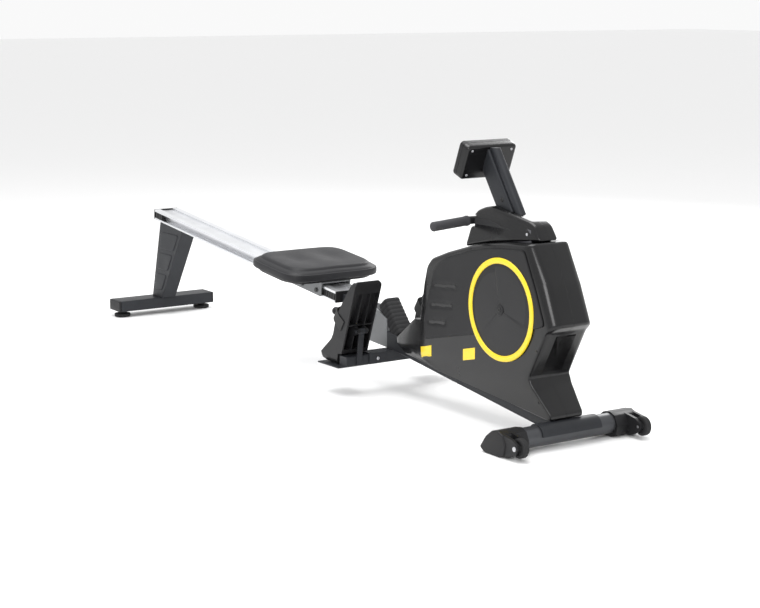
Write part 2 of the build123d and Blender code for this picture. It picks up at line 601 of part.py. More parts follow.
def pedal_strap():
    """Webbing over the instep, outside the footplate's side walls."""
    heel_x, heel_z = SOLE_HEEL
    toe_x, toe_z = SOLE_TOE
    length = hypot(toe_x - heel_x, toe_z - heel_z)
    ux, uz = (toe_x - heel_x) / length, (toe_z - heel_z) / length
    plane = Plane(origin=(heel_x + 135 * ux, PEDAL_Y, heel_z + 135 * uz), x_dir=(0, 1, 0), z_dir=(ux, 0, uz))
    out = 1.0 if plane.y_dir.Z > 0 else -1.0
    outer = Pos(0, out * 27) * RectangleRounded(98, 54, 24)
    inner = Pos(0, out * 25) * RectangleRounded(92.8, 53, 22)
    band = outer - inner - Pos(0, out * -8) * Rectangle(120, 22)
    return extrude(plane * band, 30) - pedal()


def pedal_bracket():
    """Flat bar on the front of the crossbar, ending in an eye for the pedal's pin."""
    x, z = PEDAL_PIVOT
    y0, y1 = PEDAL_Y - 9.0, PEDAL_Y + 9.0
    bar = prism([(BAR_FRONT, 93), (BAR_FRONT + 5, 93), (BAR_FRONT + 5, 118), (x + 3, z), (x - 3, z),
                 (BAR_FRONT, 120)], y0, y1)
    return bar + round_y(x, z, 9, y0, y1) - round_y(x, z, PEDAL_PIN_R, y0 - 1, y1 + 1)


def pedal_pin():
    return round_y(*PEDAL_PIVOT, PEDAL_PIN_R, PEDAL_Y - 22, PEDAL_Y + 22)


# ---------------------------------------------------------------- rail and its hinge
def along_rail(section, start, end):
    """Extrude a section drawn in Y-Z along the rail, between two places on it."""
    return extrude(Plane(origin=(start, 0, 0), x_dir=(0, 1, 0), z_dir=(1, 0, 0)) * section, end - start)


def slab(y0, y1, z0, z1):
    return Pos((y0 + y1) / 2, (z0 + z1) / 2) * Rectangle(y1 - y0, z1 - z0)


def rail_section():
    """Aluminium extrusion: box core, side grooves for the rollers, sunk top."""
    section = slab(-CORE_HALF, CORE_HALF, 0, 31) + slab(-RAIL_HALF, RAIL_HALF, 0, 4)
    for side in (-1, 1):
        low, high = sorted((side * 25, side * RAIL_HALF))
        section += slab(low, high, 31, RAIL_HEIGHT)
        low, high = sorted((side * (RAIL_HALF - 2.5), side * RAIL_HALF))
        section += slab(low, high, 28.5, 31) + slab(low, high, 4, 6.5)
    return section - slab(-CORE_IN_HALF, CORE_IN_HALF, 3, 27)


def rail():
    return on_rail(along_rail(rail_section(), END_CAP - RAIL_LENGTH, -END_CAP))


def rail_cap(start, opening):
    section = slab(-RAIL_HALF, RAIL_HALF, 0, RAIL_HEIGHT)
    section = fillet(section.vertices(), 2)
    if opening:
        section -= slab(-CORE_IN_HALF, CORE_IN_HALF, 3, 27)
    return on_rail(along_rail(section, start, start + END_CAP))


def rail_stop(start, end):
    """Ribbed rubber stop in the left groove."""
    stop = along_rail(slab(30, 46.5, 7, 28), start, end)
    ribs = int((end - start) // 12)
    for step in range(1, ribs):
        x = start + (end - start) * step / ribs
        stop -= block(x - 1.5, x + 1.5, 44.5, 47, 0, 40)
    return on_rail(stop)


def fold_arm():
    """Steel tongue inside the rail, welded to a deeper box that turns on the fold bolt."""
    px, pz = rail_local(PIVOT_X, PIVOT_Z)
    tongue = block(-150, 30, -ARM_HALF, ARM_HALF, 3.5, 26.5) - block(-151, 20, -21.5, 21.5, 6, 24)
    deep = block(26, px, -ARM_HALF, ARM_HALF, -18, 26.5) + round_y(px, pz, 22.2, -ARM_HALF, ARM_HALF)
    deep -= block(29, px - 26, -21, 21, -15, 23.5)
    lock_x, lock_z = rail_local(LOCK_X, LOCK_Z)
    arm = tongue + deep - round_y(px, pz, PIVOT_R + FIT, -30, 30)
    return on_rail(arm - round_y(lock_x, lock_z, LOCK_R + FIT, -30, -10))


def fold_bolt():
    bolt = round_y(PIVOT_X, PIVOT_Z, PIVOT_R, -36, 36)
    head = extrude(Plane.XZ.offset(-38) * Pos(PIVOT_X, PIVOT_Z) * RegularPolygon(10.5, 6), 7.8)
    return bolt + head + mirrored(head)


def lock_knob():
    """Spring pin with a ball grip, which locks the arm in the bracket."""
    pin = round_y(LOCK_X, LOCK_Z, LOCK_R, -76, -24.6)
    return pin + Pos(LOCK_X, -82, LOCK_Z) * Sphere(12.5)


# ---------------------------------------------------------------- seat
def seat_carriage():
    """Folded steel saddle over the rail, with holes for the roller bolts."""
    length = 220.0
    mid = ROLLER_MID + 1.0
    top = block(mid - length / 2, mid + length / 2, -54, 54, 43, 47)
    carriage = top
    outline = [(mid - length / 2, 47), (mid - length / 2, 22), (mid - length / 2 + 22, 2),
               (mid + length / 2 - 4, 2), (mid + length / 2, 8), (mid + length / 2, 47)]
    for side in both(prism(outline, 50, 54)):
        carriage += side
    for step in (-1, 0, 1):
        carriage -= round_y(ROLLER_MID + step * ROLLER_PITCH, ROLLER_Z, 4, -60, 60)
    return on_rail(carriage)


def seat_roller_pair(step):
    """The left and right roller on one axis, before or behind the middle of the carriage."""
    x = ROLLER_MID + step * ROLLER_PITCH
    return both(on_rail(round_y(x, ROLLER_Z, ROLLER_R, 31, 43.5) - round_y(x, ROLLER_Z, 4 + FIT, 28, 46)))


def roller_bolts():
    bolts = []
    for step in (-1, 0, 1):
        x = ROLLER_MID + step * ROLLER_PITCH
        bolt = round_y(x, ROLLER_Z, 4, 43.6 if step == 0 else 30, 56) + round_y(x, ROLLER_Z, 7, 54, 58)
        bolt += round_y(x, ROLLER_Z, 6.5, 43.6, 49.9)
        bolts += both(on_rail(bolt))
    return bolts


def seat_base():
    plan = Pos(SEAT_MID, 0) * RectangleRounded(SEAT_LONG - 22, SEAT_WIDE - 24, 75)
    return on_rail(extrude(Plane.XY.offset(BOARD_BOTTOM) * plan, BOARD_TOP - BOARD_BOTTOM))


def seat_pad():
    """Plain cushion: the right outline, height and place."""
    plan = Pos(SEAT_MID, 0) * RectangleRounded(SEAT_LONG, SEAT_WIDE, 86)
    low = BOARD_TOP + 0.3
    pad = extrude(Plane.XY.offset(low) * plan, SEAT_THICK)
    pad = fillet(pad.edges().filter_by_position(Axis.Z, low - 0.1, low + 0.1), 6)
    pad = fillet(pad.edges().filter_by_position(Axis.Z, low + SEAT_THICK - 0.1, low + SEAT_THICK + 0.1), 12)
    return on_rail(pad)


# ---------------------------------------------------------------- rear leg
def rear_leg():
    """Tapering folded-steel box between the rail and the rear stabiliser."""
    low_front, low_rear, top_front, top_rear = -1138.0, -1213.0, -960.0, -1134.0
    outline = [(low_rear, REAR_TOP), (low_front, REAR_TOP), (top_front, rail_bottom(top_front)),
               (top_rear, rail_bottom(top_rear))]
    leg = prism(outline, -28, 28)
    inner = [(low_rear + 3, REAR_TOP - 1), (low_front - 3, REAR_TOP - 1),
             (top_front - 3, rail_bottom(top_front) + 1), (top_rear + 3, rail_bottom(top_rear) + 1)]
    return leg - prism(inner, -25.5, 25.5)


def rear_stabiliser():
    half = REAR_HALF_Y - 8
    bar = block(REAR_X - REAR_HALF_X, REAR_X + REAR_HALF_X, -half, half, REAR_BOTTOM, REAR_TOP)
    bar = fillet(bar.edges().filter_by(Axis.Y), 4)
    return bar - block(REAR_X - REAR_HALF_X + 2, REAR_X + REAR_HALF_X - 2, -half - 1, half + 1,
                       REAR_BOTTOM + 2, REAR_TOP - 2)


def rear_cap():
    cap = block(REAR_X - REAR_HALF_X, REAR_X + REAR_HALF_X, REAR_HALF_Y - 8, REAR_HALF_Y, REAR_BOTTOM, REAR_TOP)
    return fillet(cap.edges(), 3.5)


def rear_foot():
    foot = Pos(REAR_X, FOOT_Y, 6) * Cylinder(FOOT_R, 12)
    foot = fillet(foot.edges(), 3)
    return foot + Pos(REAR_X, FOOT_Y, 12 + (REAR_BOTTOM - 12) / 2) * Cylinder(12, REAR_BOTTOM - 12)


# ---------------------------------------------------------------- fasteners
def cover_screws():
    """Pan-head screws that hold the housing halves together, on both sides."""
    screws = []
    for x, z in COVER_SCREWS:
        screws += both(round_y(x, z, 4, screw_y(x, z) - 14, screw_y(x, z)))
    return screws


# ---------------------------------------------------------------- write the nodes
def main():
    save("front_stabiliser", front_stabiliser())
    save("front_caps", *both(front_cap()))
    save("transport_wheel_left", transport_wheel())
    save("transport_wheel_right", mirrored(transport_wheel()))
    save("wheel_axles", *both(wheel_pin()))
    save("main_beam", main_beam())
    save("neck_post", neck_post())
    save("hinge_bracket", hinge_bracket())
    save("pedal_crossbar", pedal_crossbar())
    save("axle_plates", *both(axle_plate()))
    save("flywheel", flywheel())
    save("flywheel_bearings", bearing(-12), bearing(4))
    save("drive_shafts", *shafts())
    save("strap_reel", strap_reel())
    save("recoil_spring", *recoil_spring())
    save("drive_belt", drive_belt())
    save("idler_roller", idler_roller())
    save("magnet_bracket", magnet_bracket())
    save("brake_magnets", *brake_magnets())
    save("housing_left", housing_shell())
    save("housing_right", mirrored(housing_shell()))
    save("side_panels", *both(side_panel()))
    save("trim_rings", *both(trim_ring()))
    save("disc_covers", *both(disc_cover()))
    save("chin_cover", chin_cover())
    save("top_cover_cheeks", *both(top_cover_side()))
    save("top_cover_band", top_cover_band())
    save("cover_screws", *cover_screws())
    save("resistance_knob", resistance_knob())
    save("mast", mast())
    save("console_back", console_back())
    save("console_front", console_front())
    save("console_lens", console_lens())
    for name, x in zip(("left", "middle", "right"), BUTTONS):
        save(f"console_button_{name}", console_button(x))
    save("handle_bar", handle_bar())
    save("handle_grips", *both(handle_grip()))
    save("pull_strap", pull_strap())
    save("strap_return", strap_return())
    save("pedal_left", pedal())
    save("pedal_right", mirrored(pedal()))
    save("pedal_strap_left", pedal_strap())
    save("pedal_strap_right", mirrored(pedal_strap()))
    save("pedal_brackets", *both(pedal_bracket()), *both(pedal_pin()))
    save("fold_arm", fold_arm())
    save("fold_bolt", fold_bolt())
    save("lock_knob", lock_knob())
    save("rail", rail())
    front_stop, rear_stop = rail_stop(-90, -10), rail_stop(12 - RAIL_LENGTH, 60 - RAIL_LENGTH)
    save("rail_ends", *both(front_stop), *both(rear_stop), rail_cap(-END_CAP, True), rail_cap(-RAIL_LENGTH, False))
    save("seat_carriage", seat_carriage())
    save("seat_rollers_front", *seat_roller_pair(1))
    save("seat_rollers_rear", *seat_roller_pair(-1))
    save("roller_bolts", *roller_bolts())
    save("seat_base", seat_base())
    save("seat_pad", seat_pad())
    save("rear_leg", rear_leg())
    save("rear_stabiliser", rear_stabiliser())
    save("rear_caps", *both(rear_cap()))
    save("rear_feet", *both(rear_foot()))


main()
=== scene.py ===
"""Looks of a folding magnetic rowing machine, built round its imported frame.

Every size is in millimetres until a mesh is written, which is in metres.
"""

import json
import logging
from collections.abc import Callable, Sequence
from dataclasses import dataclass, field
from enum import Enum
from math import cos, pi, radians, sin

import bmesh
import bpy
import numpy as np
from mathutils import Matrix, Vector
from mathutils.geometry import delaunay_2d_cdt

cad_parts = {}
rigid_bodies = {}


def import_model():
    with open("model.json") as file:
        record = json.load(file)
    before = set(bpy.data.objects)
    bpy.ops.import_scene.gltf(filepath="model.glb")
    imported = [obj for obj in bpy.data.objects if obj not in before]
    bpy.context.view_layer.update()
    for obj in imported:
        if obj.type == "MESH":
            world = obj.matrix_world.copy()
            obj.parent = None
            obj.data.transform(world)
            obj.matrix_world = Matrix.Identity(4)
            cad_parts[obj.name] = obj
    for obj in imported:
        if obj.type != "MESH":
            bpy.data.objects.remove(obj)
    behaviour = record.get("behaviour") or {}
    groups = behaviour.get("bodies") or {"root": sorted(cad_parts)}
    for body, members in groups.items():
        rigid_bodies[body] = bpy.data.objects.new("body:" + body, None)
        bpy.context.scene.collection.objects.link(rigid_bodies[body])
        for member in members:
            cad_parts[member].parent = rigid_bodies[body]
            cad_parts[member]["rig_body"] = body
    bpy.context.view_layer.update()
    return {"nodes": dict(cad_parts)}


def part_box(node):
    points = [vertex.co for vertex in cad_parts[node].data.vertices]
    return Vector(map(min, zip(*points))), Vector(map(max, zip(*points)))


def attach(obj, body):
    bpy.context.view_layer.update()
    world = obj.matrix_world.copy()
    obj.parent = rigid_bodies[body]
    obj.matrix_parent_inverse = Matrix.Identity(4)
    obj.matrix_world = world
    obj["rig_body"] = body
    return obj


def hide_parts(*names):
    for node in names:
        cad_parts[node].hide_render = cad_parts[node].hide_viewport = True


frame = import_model()

LOG = logging.getLogger("rowing_machine")
MM = 0.001
MIRRORED = (("left", False), ("right", True))
SIGNED = (("left", 1), ("right", -1))
Height = Callable[[np.ndarray, np.ndarray], np.ndarray]


class Pattern(Enum):
    """What the fine relief of a finish looks like."""

    GRAIN = "grain"
    DRAWN = "drawn"
    WEAVE = "weave"
    LEATHER = "leather"
    SMOOTH = "smooth"


@dataclass(frozen=True)
class Finish:
    """A finish of one material, with its relief worked out from Object coordinates."""

    name: str
    colour: tuple[float, float, float]
    rough: tuple[float, float]
    slot: str
    pattern: Pattern = Pattern.GRAIN
    grain_mm: float = 1.0
    relief_mm: float = 0.05
    metal: float = 0.0
    coat: float = 0.0
    sheen: float = 0.0
    blotch_mm: float = 60.0
    variation: float = 0.25
    see_through: float = 0.0
    specular: float = 0.5

    def build(self) -> bpy.types.Material:
        """Make the material, or return it if it is already made.

        Returns:
            The node-based material.
        """
        known = bpy.data.materials.get(self.name)
        if known:
            return known
        material = bpy.data.materials.new(self.name)
        material.use_nodes = True
        tree = material.node_tree
        shader = tree.nodes["Principled BSDF"]
        shader.inputs["Metallic"].default_value = self.metal
        shader.inputs["Specular IOR Level"].default_value = self.specular
        shader.inputs["Coat Weight"].default_value = self.coat
        shader.inputs["Coat Roughness"].default_value = 0.08
        shader.inputs["Sheen Weight"].default_value = self.sheen
        shader.inputs["Transmission Weight"].default_value = self.see_through
        place = tree.nodes.new("ShaderNodeTexCoord")
        blotch = tree.nodes.new("ShaderNodeTexNoise")
        blotch.inputs["Scale"].default_value = 1 / (self.blotch_mm * MM)
        blotch.inputs["Detail"].default_value = 6
        tree.links.new(place.outputs["Object"], blotch.inputs["Vector"])
        tint = tree.nodes.new("ShaderNodeMix")
        tint.data_type = "RGBA"
        dark = tuple(value * (1 - self.variation) for value in self.colour)
        light = tuple(min(1.0, value * (1 + self.variation)) for value in self.colour)
        tint.inputs[6].default_value = (*dark, 1)
        tint.inputs[7].default_value = (*light, 1)
        tree.links.new(blotch.outputs["Fac"], tint.inputs[0])
        tree.links.new(tint.outputs[2], shader.inputs["Base Color"])
        spread = tree.nodes.new("ShaderNodeMapRange")
        spread.inputs["From Min"].default_value = 0.3
        spread.inputs["From Max"].default_value = 0.7
        spread.inputs["To Min"].default_value = self.rough[0]
        spread.inputs["To Max"].default_value = self.rough[1]
        tree.links.new(blotch.outputs["Fac"], spread.inputs["Value"])
        tree.links.new(spread.outputs["Result"], shader.inputs["Roughness"])
        if self.pattern is not Pattern.SMOOTH:
            bump = tree.nodes.new("ShaderNodeBump")
            bump.inputs["Distance"].default_value = self.relief_mm * MM
            bump.inputs["Strength"].default_value = 1.0
            tree.links.new(self.relief(tree, place), bump.inputs["Height"])
            tree.links.new(bump.outputs["Normal"], shader.inputs["Normal"])
        return material

    def relief(self, tree: bpy.types.NodeTree, place: bpy.types.Node) -> bpy.types.NodeSocket:
        """Add the nodes of the fine relief.

        Args:
            tree: the material's node tree.
            place: the node that gives Object coordinates.

        Returns:
            The socket that holds the relief's height, from 0 to 1.
        """
        mapping = tree.nodes.new("ShaderNodeMapping")
        tree.links.new(place.outputs["Object"], mapping.inputs["Vector"])
        per_metre = 1 / (self.grain_mm * MM)
        stretch = {Pattern.DRAWN: (0.01, 1.0, 1.0)}.get(self.pattern, (1.0, 1.0, 1.0))
        mapping.inputs["Scale"].default_value = tuple(per_metre * part for part in stretch)
        if self.pattern is Pattern.LEATHER:
            cells = tree.nodes.new("ShaderNodeTexVoronoi")
            cells.feature = "DISTANCE_TO_EDGE"
            cells.inputs["Scale"].default_value = 1.0
            tree.links.new(mapping.outputs["Vector"], cells.inputs["Vector"])
            return cells.outputs["Distance"]
        if self.pattern is Pattern.WEAVE:
            waves = []
            for direction in ("X", "Y"):
                wave = tree.nodes.new("ShaderNodeTexWave")
                wave.bands_direction = direction
                wave.inputs["Scale"].default_value = 0.32
                wave.inputs["Distortion"].default_value = 0.4
                tree.links.new(mapping.outputs["Vector"], wave.inputs["Vector"])
                waves.append(wave)
            both = tree.nodes.new("ShaderNodeMath")
            both.operation = "MAXIMUM"
            for index, wave in enumerate(waves):
                tree.links.new(wave.outputs["Fac"], both.inputs[index])
            return both.outputs["Value"]
        noise = tree.nodes.new("ShaderNodeTexNoise")
        noise.inputs["Scale"].default_value = 1.0
        noise.inputs["Detail"].default_value = 4
        tree.links.new(mapping.outputs["Vector"], noise.inputs["Vector"])
        return noise.outputs["Fac"]


GLOSS = Finish("gloss_black_moulding", (0.006, 0.006, 0.0065), (0.2, 0.28), "housing_black",
               grain_mm=0.9, relief_mm=0.006, coat=0.12, blotch_mm=90, specular=0.3)
SATIN = Finish("satin_black_moulding", (0.013, 0.013, 0.014), (0.36, 0.48), "panel_black",
               grain_mm=0.8, relief_mm=0.05, specular=0.22)
DISC = Finish("disc_moulding", (0.018, 0.018, 0.019), (0.38, 0.48), "panel_black",
              grain_mm=0.7, relief_mm=0.04, specular=0.25)
YELLOW = Finish("yellow_moulding", (0.8, 0.58, 0.006), (0.3, 0.4), "accent_yellow",
                grain_mm=0.8, relief_mm=0.02, coat=0.3, variation=0.05)
POWDER = Finish("graphite_powder_coat", (0.022, 0.0235, 0.027), (0.38, 0.5), "frame_steel",
                grain_mm=0.7, relief_mm=0.06, metal=0.2, specular=0.25)
TUBE = Finish("tube_powder_coat", (0.055, 0.057, 0.062), (0.3, 0.4), "frame_steel",
              grain_mm=0.7, relief_mm=0.04, metal=0.5)
PRIMER = Finish("plate_primer", (0.09, 0.09, 0.1), (0.45, 0.6), "plate_steel", relief_mm=0.04, metal=0.5)
ALUMINIUM = Finish("drawn_aluminium", (0.74, 0.75, 0.77), (0.3, 0.42), "rail_aluminium",
                   pattern=Pattern.DRAWN, grain_mm=0.5, relief_mm=0.02, metal=0.85, variation=0.05)
RUBBER = Finish("black_rubber", (0.02, 0.02, 0.021), (0.6, 0.75), "rubber_black", relief_mm=0.08,
                specular=0.2)
VINYL = Finish("seat_skin", (0.018, 0.018, 0.02), (0.42, 0.55), "seat_vinyl", pattern=Pattern.LEATHER,
               grain_mm=1.5, relief_mm=0.12, specular=0.25)
FOAM = Finish("grip_foam", (0.022, 0.022, 0.023), (0.75, 0.9), "grip_foam", grain_mm=0.5, relief_mm=0.15,
              sheen=0.2)
WEBBING = Finish("strap_webbing", (0.02, 0.02, 0.021), (0.7, 0.85), "strap_webbing", pattern=Pattern.WEAVE,
                 grain_mm=1.1, relief_mm=0.2, sheen=0.4)
ZINC = Finish("zinc_plate", (0.5, 0.5, 0.52), (0.28, 0.4), "steel_bright", relief_mm=0.01, metal=0.95)
BLACK_SCREW = Finish("blackened_steel", (0.03, 0.03, 0.03), (0.3, 0.4), "steel_bright", relief_mm=0.01,
                     metal=0.6)
IRON = Finish("machined_iron", (0.2, 0.2, 0.21), (0.35, 0.5), "flywheel_iron", relief_mm=0.03, metal=0.9)
NICKEL = Finish("magnet_nickel", (0.6, 0.6, 0.62), (0.2, 0.3), "magnet_nickel", relief_mm=0.01, metal=0.95)
BELT = Finish("belt_rubber", (0.02, 0.02, 0.02), (0.6, 0.7), "belt_rubber", relief_mm=0.08)
LENS = Finish("smoked_window", (0.02, 0.025, 0.022), (0.06, 0.1), "screen_lens", relief_mm=0.002, coat=0.6)
BUTTON = Finish("button_rubber", (0.16, 0.165, 0.175), (0.5, 0.6), "button_grey", relief_mm=0.05)


STEEL_GREY = Finish("grey_powder_coat", (0.16, 0.165, 0.17), (0.35, 0.45), "frame_steel", grain_mm=0.7,
                    relief_mm=0.05, metal=0.5)


# ---------------------------------------------------------------- surfaces
def grid_faces(rows: int, columns: int, wrap: bool) -> np.ndarray:
    """Quads of a grid of points, each joining four neighbours.

    Args:
        rows: how many rows of points.
        columns: how many points in a row.
        wrap: whether the last column joins the first.

    Returns:
        An array of four point numbers for each face.
    """
    row, column = np.meshgrid(np.arange(rows - 1), np.arange(columns if wrap else columns - 1), indexing="ij")
    right = (column + 1) % columns
    corners = (row * columns + column, row * columns + right, (row + 1) * columns + right,
               (row + 1) * columns + column)
    return np.stack(corners, -1).reshape(-1, 4)


def rounded(corners: np.ndarray, radius: float, steps: int = 7) -> np.ndarray:
    """Round a closed outline's corners, each by a parabola tangent to both its edges.

    Args:
        corners: the outline's corners, in order.
        radius: how much of each edge the rounding takes, in millimetres.
        steps: the number of points on each corner.

    Returns:
        The points of the rounded outline.
    """
    before, after = np.roll(corners, 1, 0) - corners, np.roll(corners, -1, 0) - corners
    size_before = np.linalg.norm(before, axis=1, keepdims=True)
    size_after = np.linalg.norm(after, axis=1, keepdims=True)
    reach = np.minimum(radius, 0.42 * np.minimum(size_before, size_after))
    start, end = corners + before / size_before * reach, corners + after / size_after * reach
    u = np.linspace(0, 1, steps)[None, :, None]
    curve = (1 - u) ** 2 * start[:, None] + 2 * u * (1 - u) * corners[:, None] + u ** 2 * end[:, None]
    return curve.reshape(-1, 2)


def inset(corners: np.ndarray, distance: np.ndarray) -> np.ndarray:
    """Move each edge of an outline inwards and find where neighbouring edges meet.

    Args:
        corners: the outline's corners, in order.
        distance: how far each edge moves, the first being from corner 0 to corner 1.

    Returns:
        The corners of the smaller outline.
    """
    edge = np.roll(corners, -1, 0) - corners
    edge = edge / np.linalg.norm(edge, axis=1, keepdims=True)
    following = np.roll(corners, -1, 0)
    turn = np.sign(np.sum(corners[:, 0] * following[:, 1] - following[:, 0] * corners[:, 1]))
    normal = np.stack([-edge[:, 1], edge[:, 0]], 1) * turn
    level = np.sum(normal * corners, 1) + distance
    earlier, earlier_level = np.roll(normal, 1, 0), np.roll(level, 1)
    cross = earlier[:, 0] * normal[:, 1] - earlier[:, 1] * normal[:, 0]
    straight = np.abs(cross) < 0.02
    cross = np.where(straight, 1.0, cross)
    x = (earlier_level * normal[:, 1] - level * earlier[:, 1]) / cross
    z = (earlier[:, 0] * level - normal[:, 0] * earlier_level) / cross
    simple = corners + normal * distance[:, None]
    return np.where(straight[:, None], simple, np.stack([x, z], 1))


def smooth_step(low: float, high: float, value: np.ndarray) -> np.ndarray:
    """Rise from 0 at low to 1 at high, level at both ends.

    Args:
        low: where the rise starts.
        high: where it ends.
        value: where it is wanted.

    Returns:
        The share risen at each value.
    """
    t = np.clip((value - low) / (high - low), 0, 1)
    return t * t * (3 - 2 * t)


@dataclass
class Plate:
    """A shell or slab drawn by an outline in X and Z, with a rounded edge and a shaped side.

    The rim is a profile carried round the outline: it starts at start_y and rises to the side's
    height less the depth of the edge's rounding, then turns in along a quarter of an ellipse.  The
    side is a net of triangles whose height is a function of X and Z.
    """

    outline: Sequence[tuple[float, float]]
    height: Height
    start_y: float
    edge_in: Sequence[float] | float = 3.0
    edge_down: Sequence[float] | float = 3.0
    corner: float = 8.0
    net_mm: float = 14.0
    lead_in: float = 0.0
    closed: bool = True

    def points(self) -> tuple[np.ndarray, np.ndarray]:
        """Work out the rim and the side.

        Returns:
            The points, in millimetres, and the faces as an object array of point numbers.
        """
        corners = np.array(self.outline, float)
        count = len(corners)
        edge_in = np.broadcast_to(np.array(self.edge_in, float), (count,))
        edge_down = np.broadcast_to(np.array(self.edge_down, float), (count,))
        down = np.repeat((edge_down + np.roll(edge_down, 1)) / 2, 7)
        rows, levels = [], []
        for turn in np.linspace(0, pi / 2, 7):
            flat = rounded(inset(corners, edge_in * (1 - cos(turn))), self.corner)
            rows.append(flat)
            levels.append(self.height(flat[:, 0], flat[:, 1]) - down * (1 - sin(turn)))
        lead = rounded(inset(corners, np.full(count, self.lead_in)), self.corner)
        first = np.full(len(lead), self.start_y)
        rows = [lead, lead if self.lead_in == 0 else rows[0]] + rows
        levels = [first, first + max(self.lead_in, 0.4)] + levels
        rim = np.stack([np.stack([r[:, 0], y, r[:, 1]], 1) for r, y in zip(rows, levels)])
        faces = [tuple(face) for face in grid_faces(len(rows), rim.shape[1], True)]
        points, offset = rim.reshape(-1, 3), (len(rows) - 1) * rim.shape[1]
        side, triangles = self.net(rim[-1][:, [0, 2]])
        ring = np.arange(rim.shape[1])
        numbers = np.concatenate([ring + offset, np.arange(len(side) - len(ring)) + len(points)])
        added = side[len(ring):]
        heights = self.height(added[:, 0], added[:, 1])
        points = np.concatenate([points, np.stack([added[:, 0], heights, added[:, 1]], 1)])
        faces += [tuple(numbers[list(face)]) for face in triangles]
        if self.closed:
            faces.append(tuple(ring[::-1]))
        return points, np.array(faces, dtype=object)

    def net(self, border: np.ndarray) -> tuple[np.ndarray, list[list[int]]]:
        """Fill a closed border with triangles whose inner corners lie on a square net.

        Args:
            border: the border's points, in X and Z.

        Returns:
            The border's points followed by the inner ones, and the triangles.
        """
        low, high = border.min(0), border.max(0)
        across = np.arange(low[0], high[0], self.net_mm)
        up = np.arange(low[1], high[1], self.net_mm)
        inner = np.stack(np.meshgrid(across, up, indexing="ij"), -1).reshape(-1, 2)
        inner = inner[self.inside(border, inner)]
        everything = np.concatenate([border, inner])
        count = len(border)
        edges = [(index, (index + 1) % count) for index in range(count)]
        found = delaunay_2d_cdt([Vector(p) for p in everything], edges, [list(range(count))], 1, 1e-6)
        back = np.array([source[0] if source else 0 for source in found[3]])
        triangles = [[int(back[i]) for i in face] for face in found[2]]
        return everything, [face for face in triangles if len(set(face)) == len(face)]

    def inside(self, border: np.ndarray, tested: np.ndarray) -> np.ndarray:
        """Say which points lie inside a border, and not close to it.

        A point is inside when a ray along +X crosses the border an odd number of times.

        Args:
            border: the border's points.
            tested: the points to test.

        Returns:
            True for each point inside.
        """
        a, b = border[None], np.roll(border, -1, 0)[None]
        p = tested[:, None]
        spans = (a[..., 1] > p[..., 1]) != (b[..., 1] > p[..., 1])
        rise = np.where(np.abs(b[..., 1] - a[..., 1]) < 1e-9, 1e-9, b[..., 1] - a[..., 1])
        where = a[..., 0] + (p[..., 1] - a[..., 1]) * (b[..., 0] - a[..., 0]) / rise
        odd = np.sum(spans & (p[..., 0] < where), 1) % 2 == 1
        near = np.min(np.linalg.norm(p - a, axis=2), 1) < 0.35 * self.net_mm
        return odd & ~near


def axes_about(axis: Sequence[float]) -> tuple[np.ndarray, np.ndarray, np.ndarray]:
    """Find three unit directions at right angles, the first along an axis.

    Args:
        axis: the axis, of any length.

    Returns:
        The axis's direction and two directions across it.
    """
    direction = np.array(axis, float) / np.linalg.norm(axis)
    helper = np.array([0.0, 0, 1]) if abs(direction[2]) < 0.9 else np.array([1.0, 0, 0])
    side = np.cross(helper, direction)
    side /= np.linalg.norm(side)
    return direction, side, np.cross(direction, side)


def turned(profile: np.ndarray, centre: Sequence[float], axis: Sequence[float], steps: int = 64,
           swell: Callable[[np.ndarray], np.ndarray] | None = None) -> tuple[np.ndarray, np.ndarray]:
    """Turn a profile about an axis: the point at angle a is centre + along + radius (cos a, sin a).

    Args:
        profile: rows of distance along the axis and radius; a zero radius closes the end.
        centre: the point that distances count from, in millimetres.
        axis: the direction of the axis.
        steps: the number of points round it.
        swell: what the radius is multiplied by at each angle.

    Returns:
        The points and the faces.
    """
    direction, side, up = axes_about(axis)
    angle = np.linspace(0, 2 * pi, steps, endpoint=False)
    ring = np.cos(angle)[:, None] * side + np.sin(angle)[:, None] * up
    factor = np.ones(steps) if swell is None else swell(angle)
    points = (np.array(centre) + profile[:, None, :1] * direction
              + profile[:, None, 1:2] * factor[None, :, None] * ring[None])
    return points.reshape(-1, 3), grid_faces(len(profile), steps, True)


def bead(start: float, end: float, radius: float, edge: float, bore: float = 0.0) -> np.ndarray:
    """Profile of a round bar or ring with quarter-round edges, closed on itself.

    Args:
        start: where it starts along the axis.
        end: where it ends.
        radius: its outer radius.
        edge: the radius of its edges.
        bore: its inner radius.

    Returns:
        Rows of distance along the axis and radius.
    """
    turn = np.linspace(0, pi / 2, 6)
    rise = np.stack([start + edge * (1 - np.sin(turn[::-1])), radius - edge * (1 - np.cos(turn[::-1]))], 1)
    fall = np.stack([end - edge * (1 - np.sin(turn)), radius - edge * (1 - np.cos(turn))], 1)
    inner = [[end, bore], [start, bore]]
    lead = [[start, bore]]
    return np.array([*lead, *np.array(sorted(rise.tolist())), *np.array(sorted(fall.tolist())), *inner])


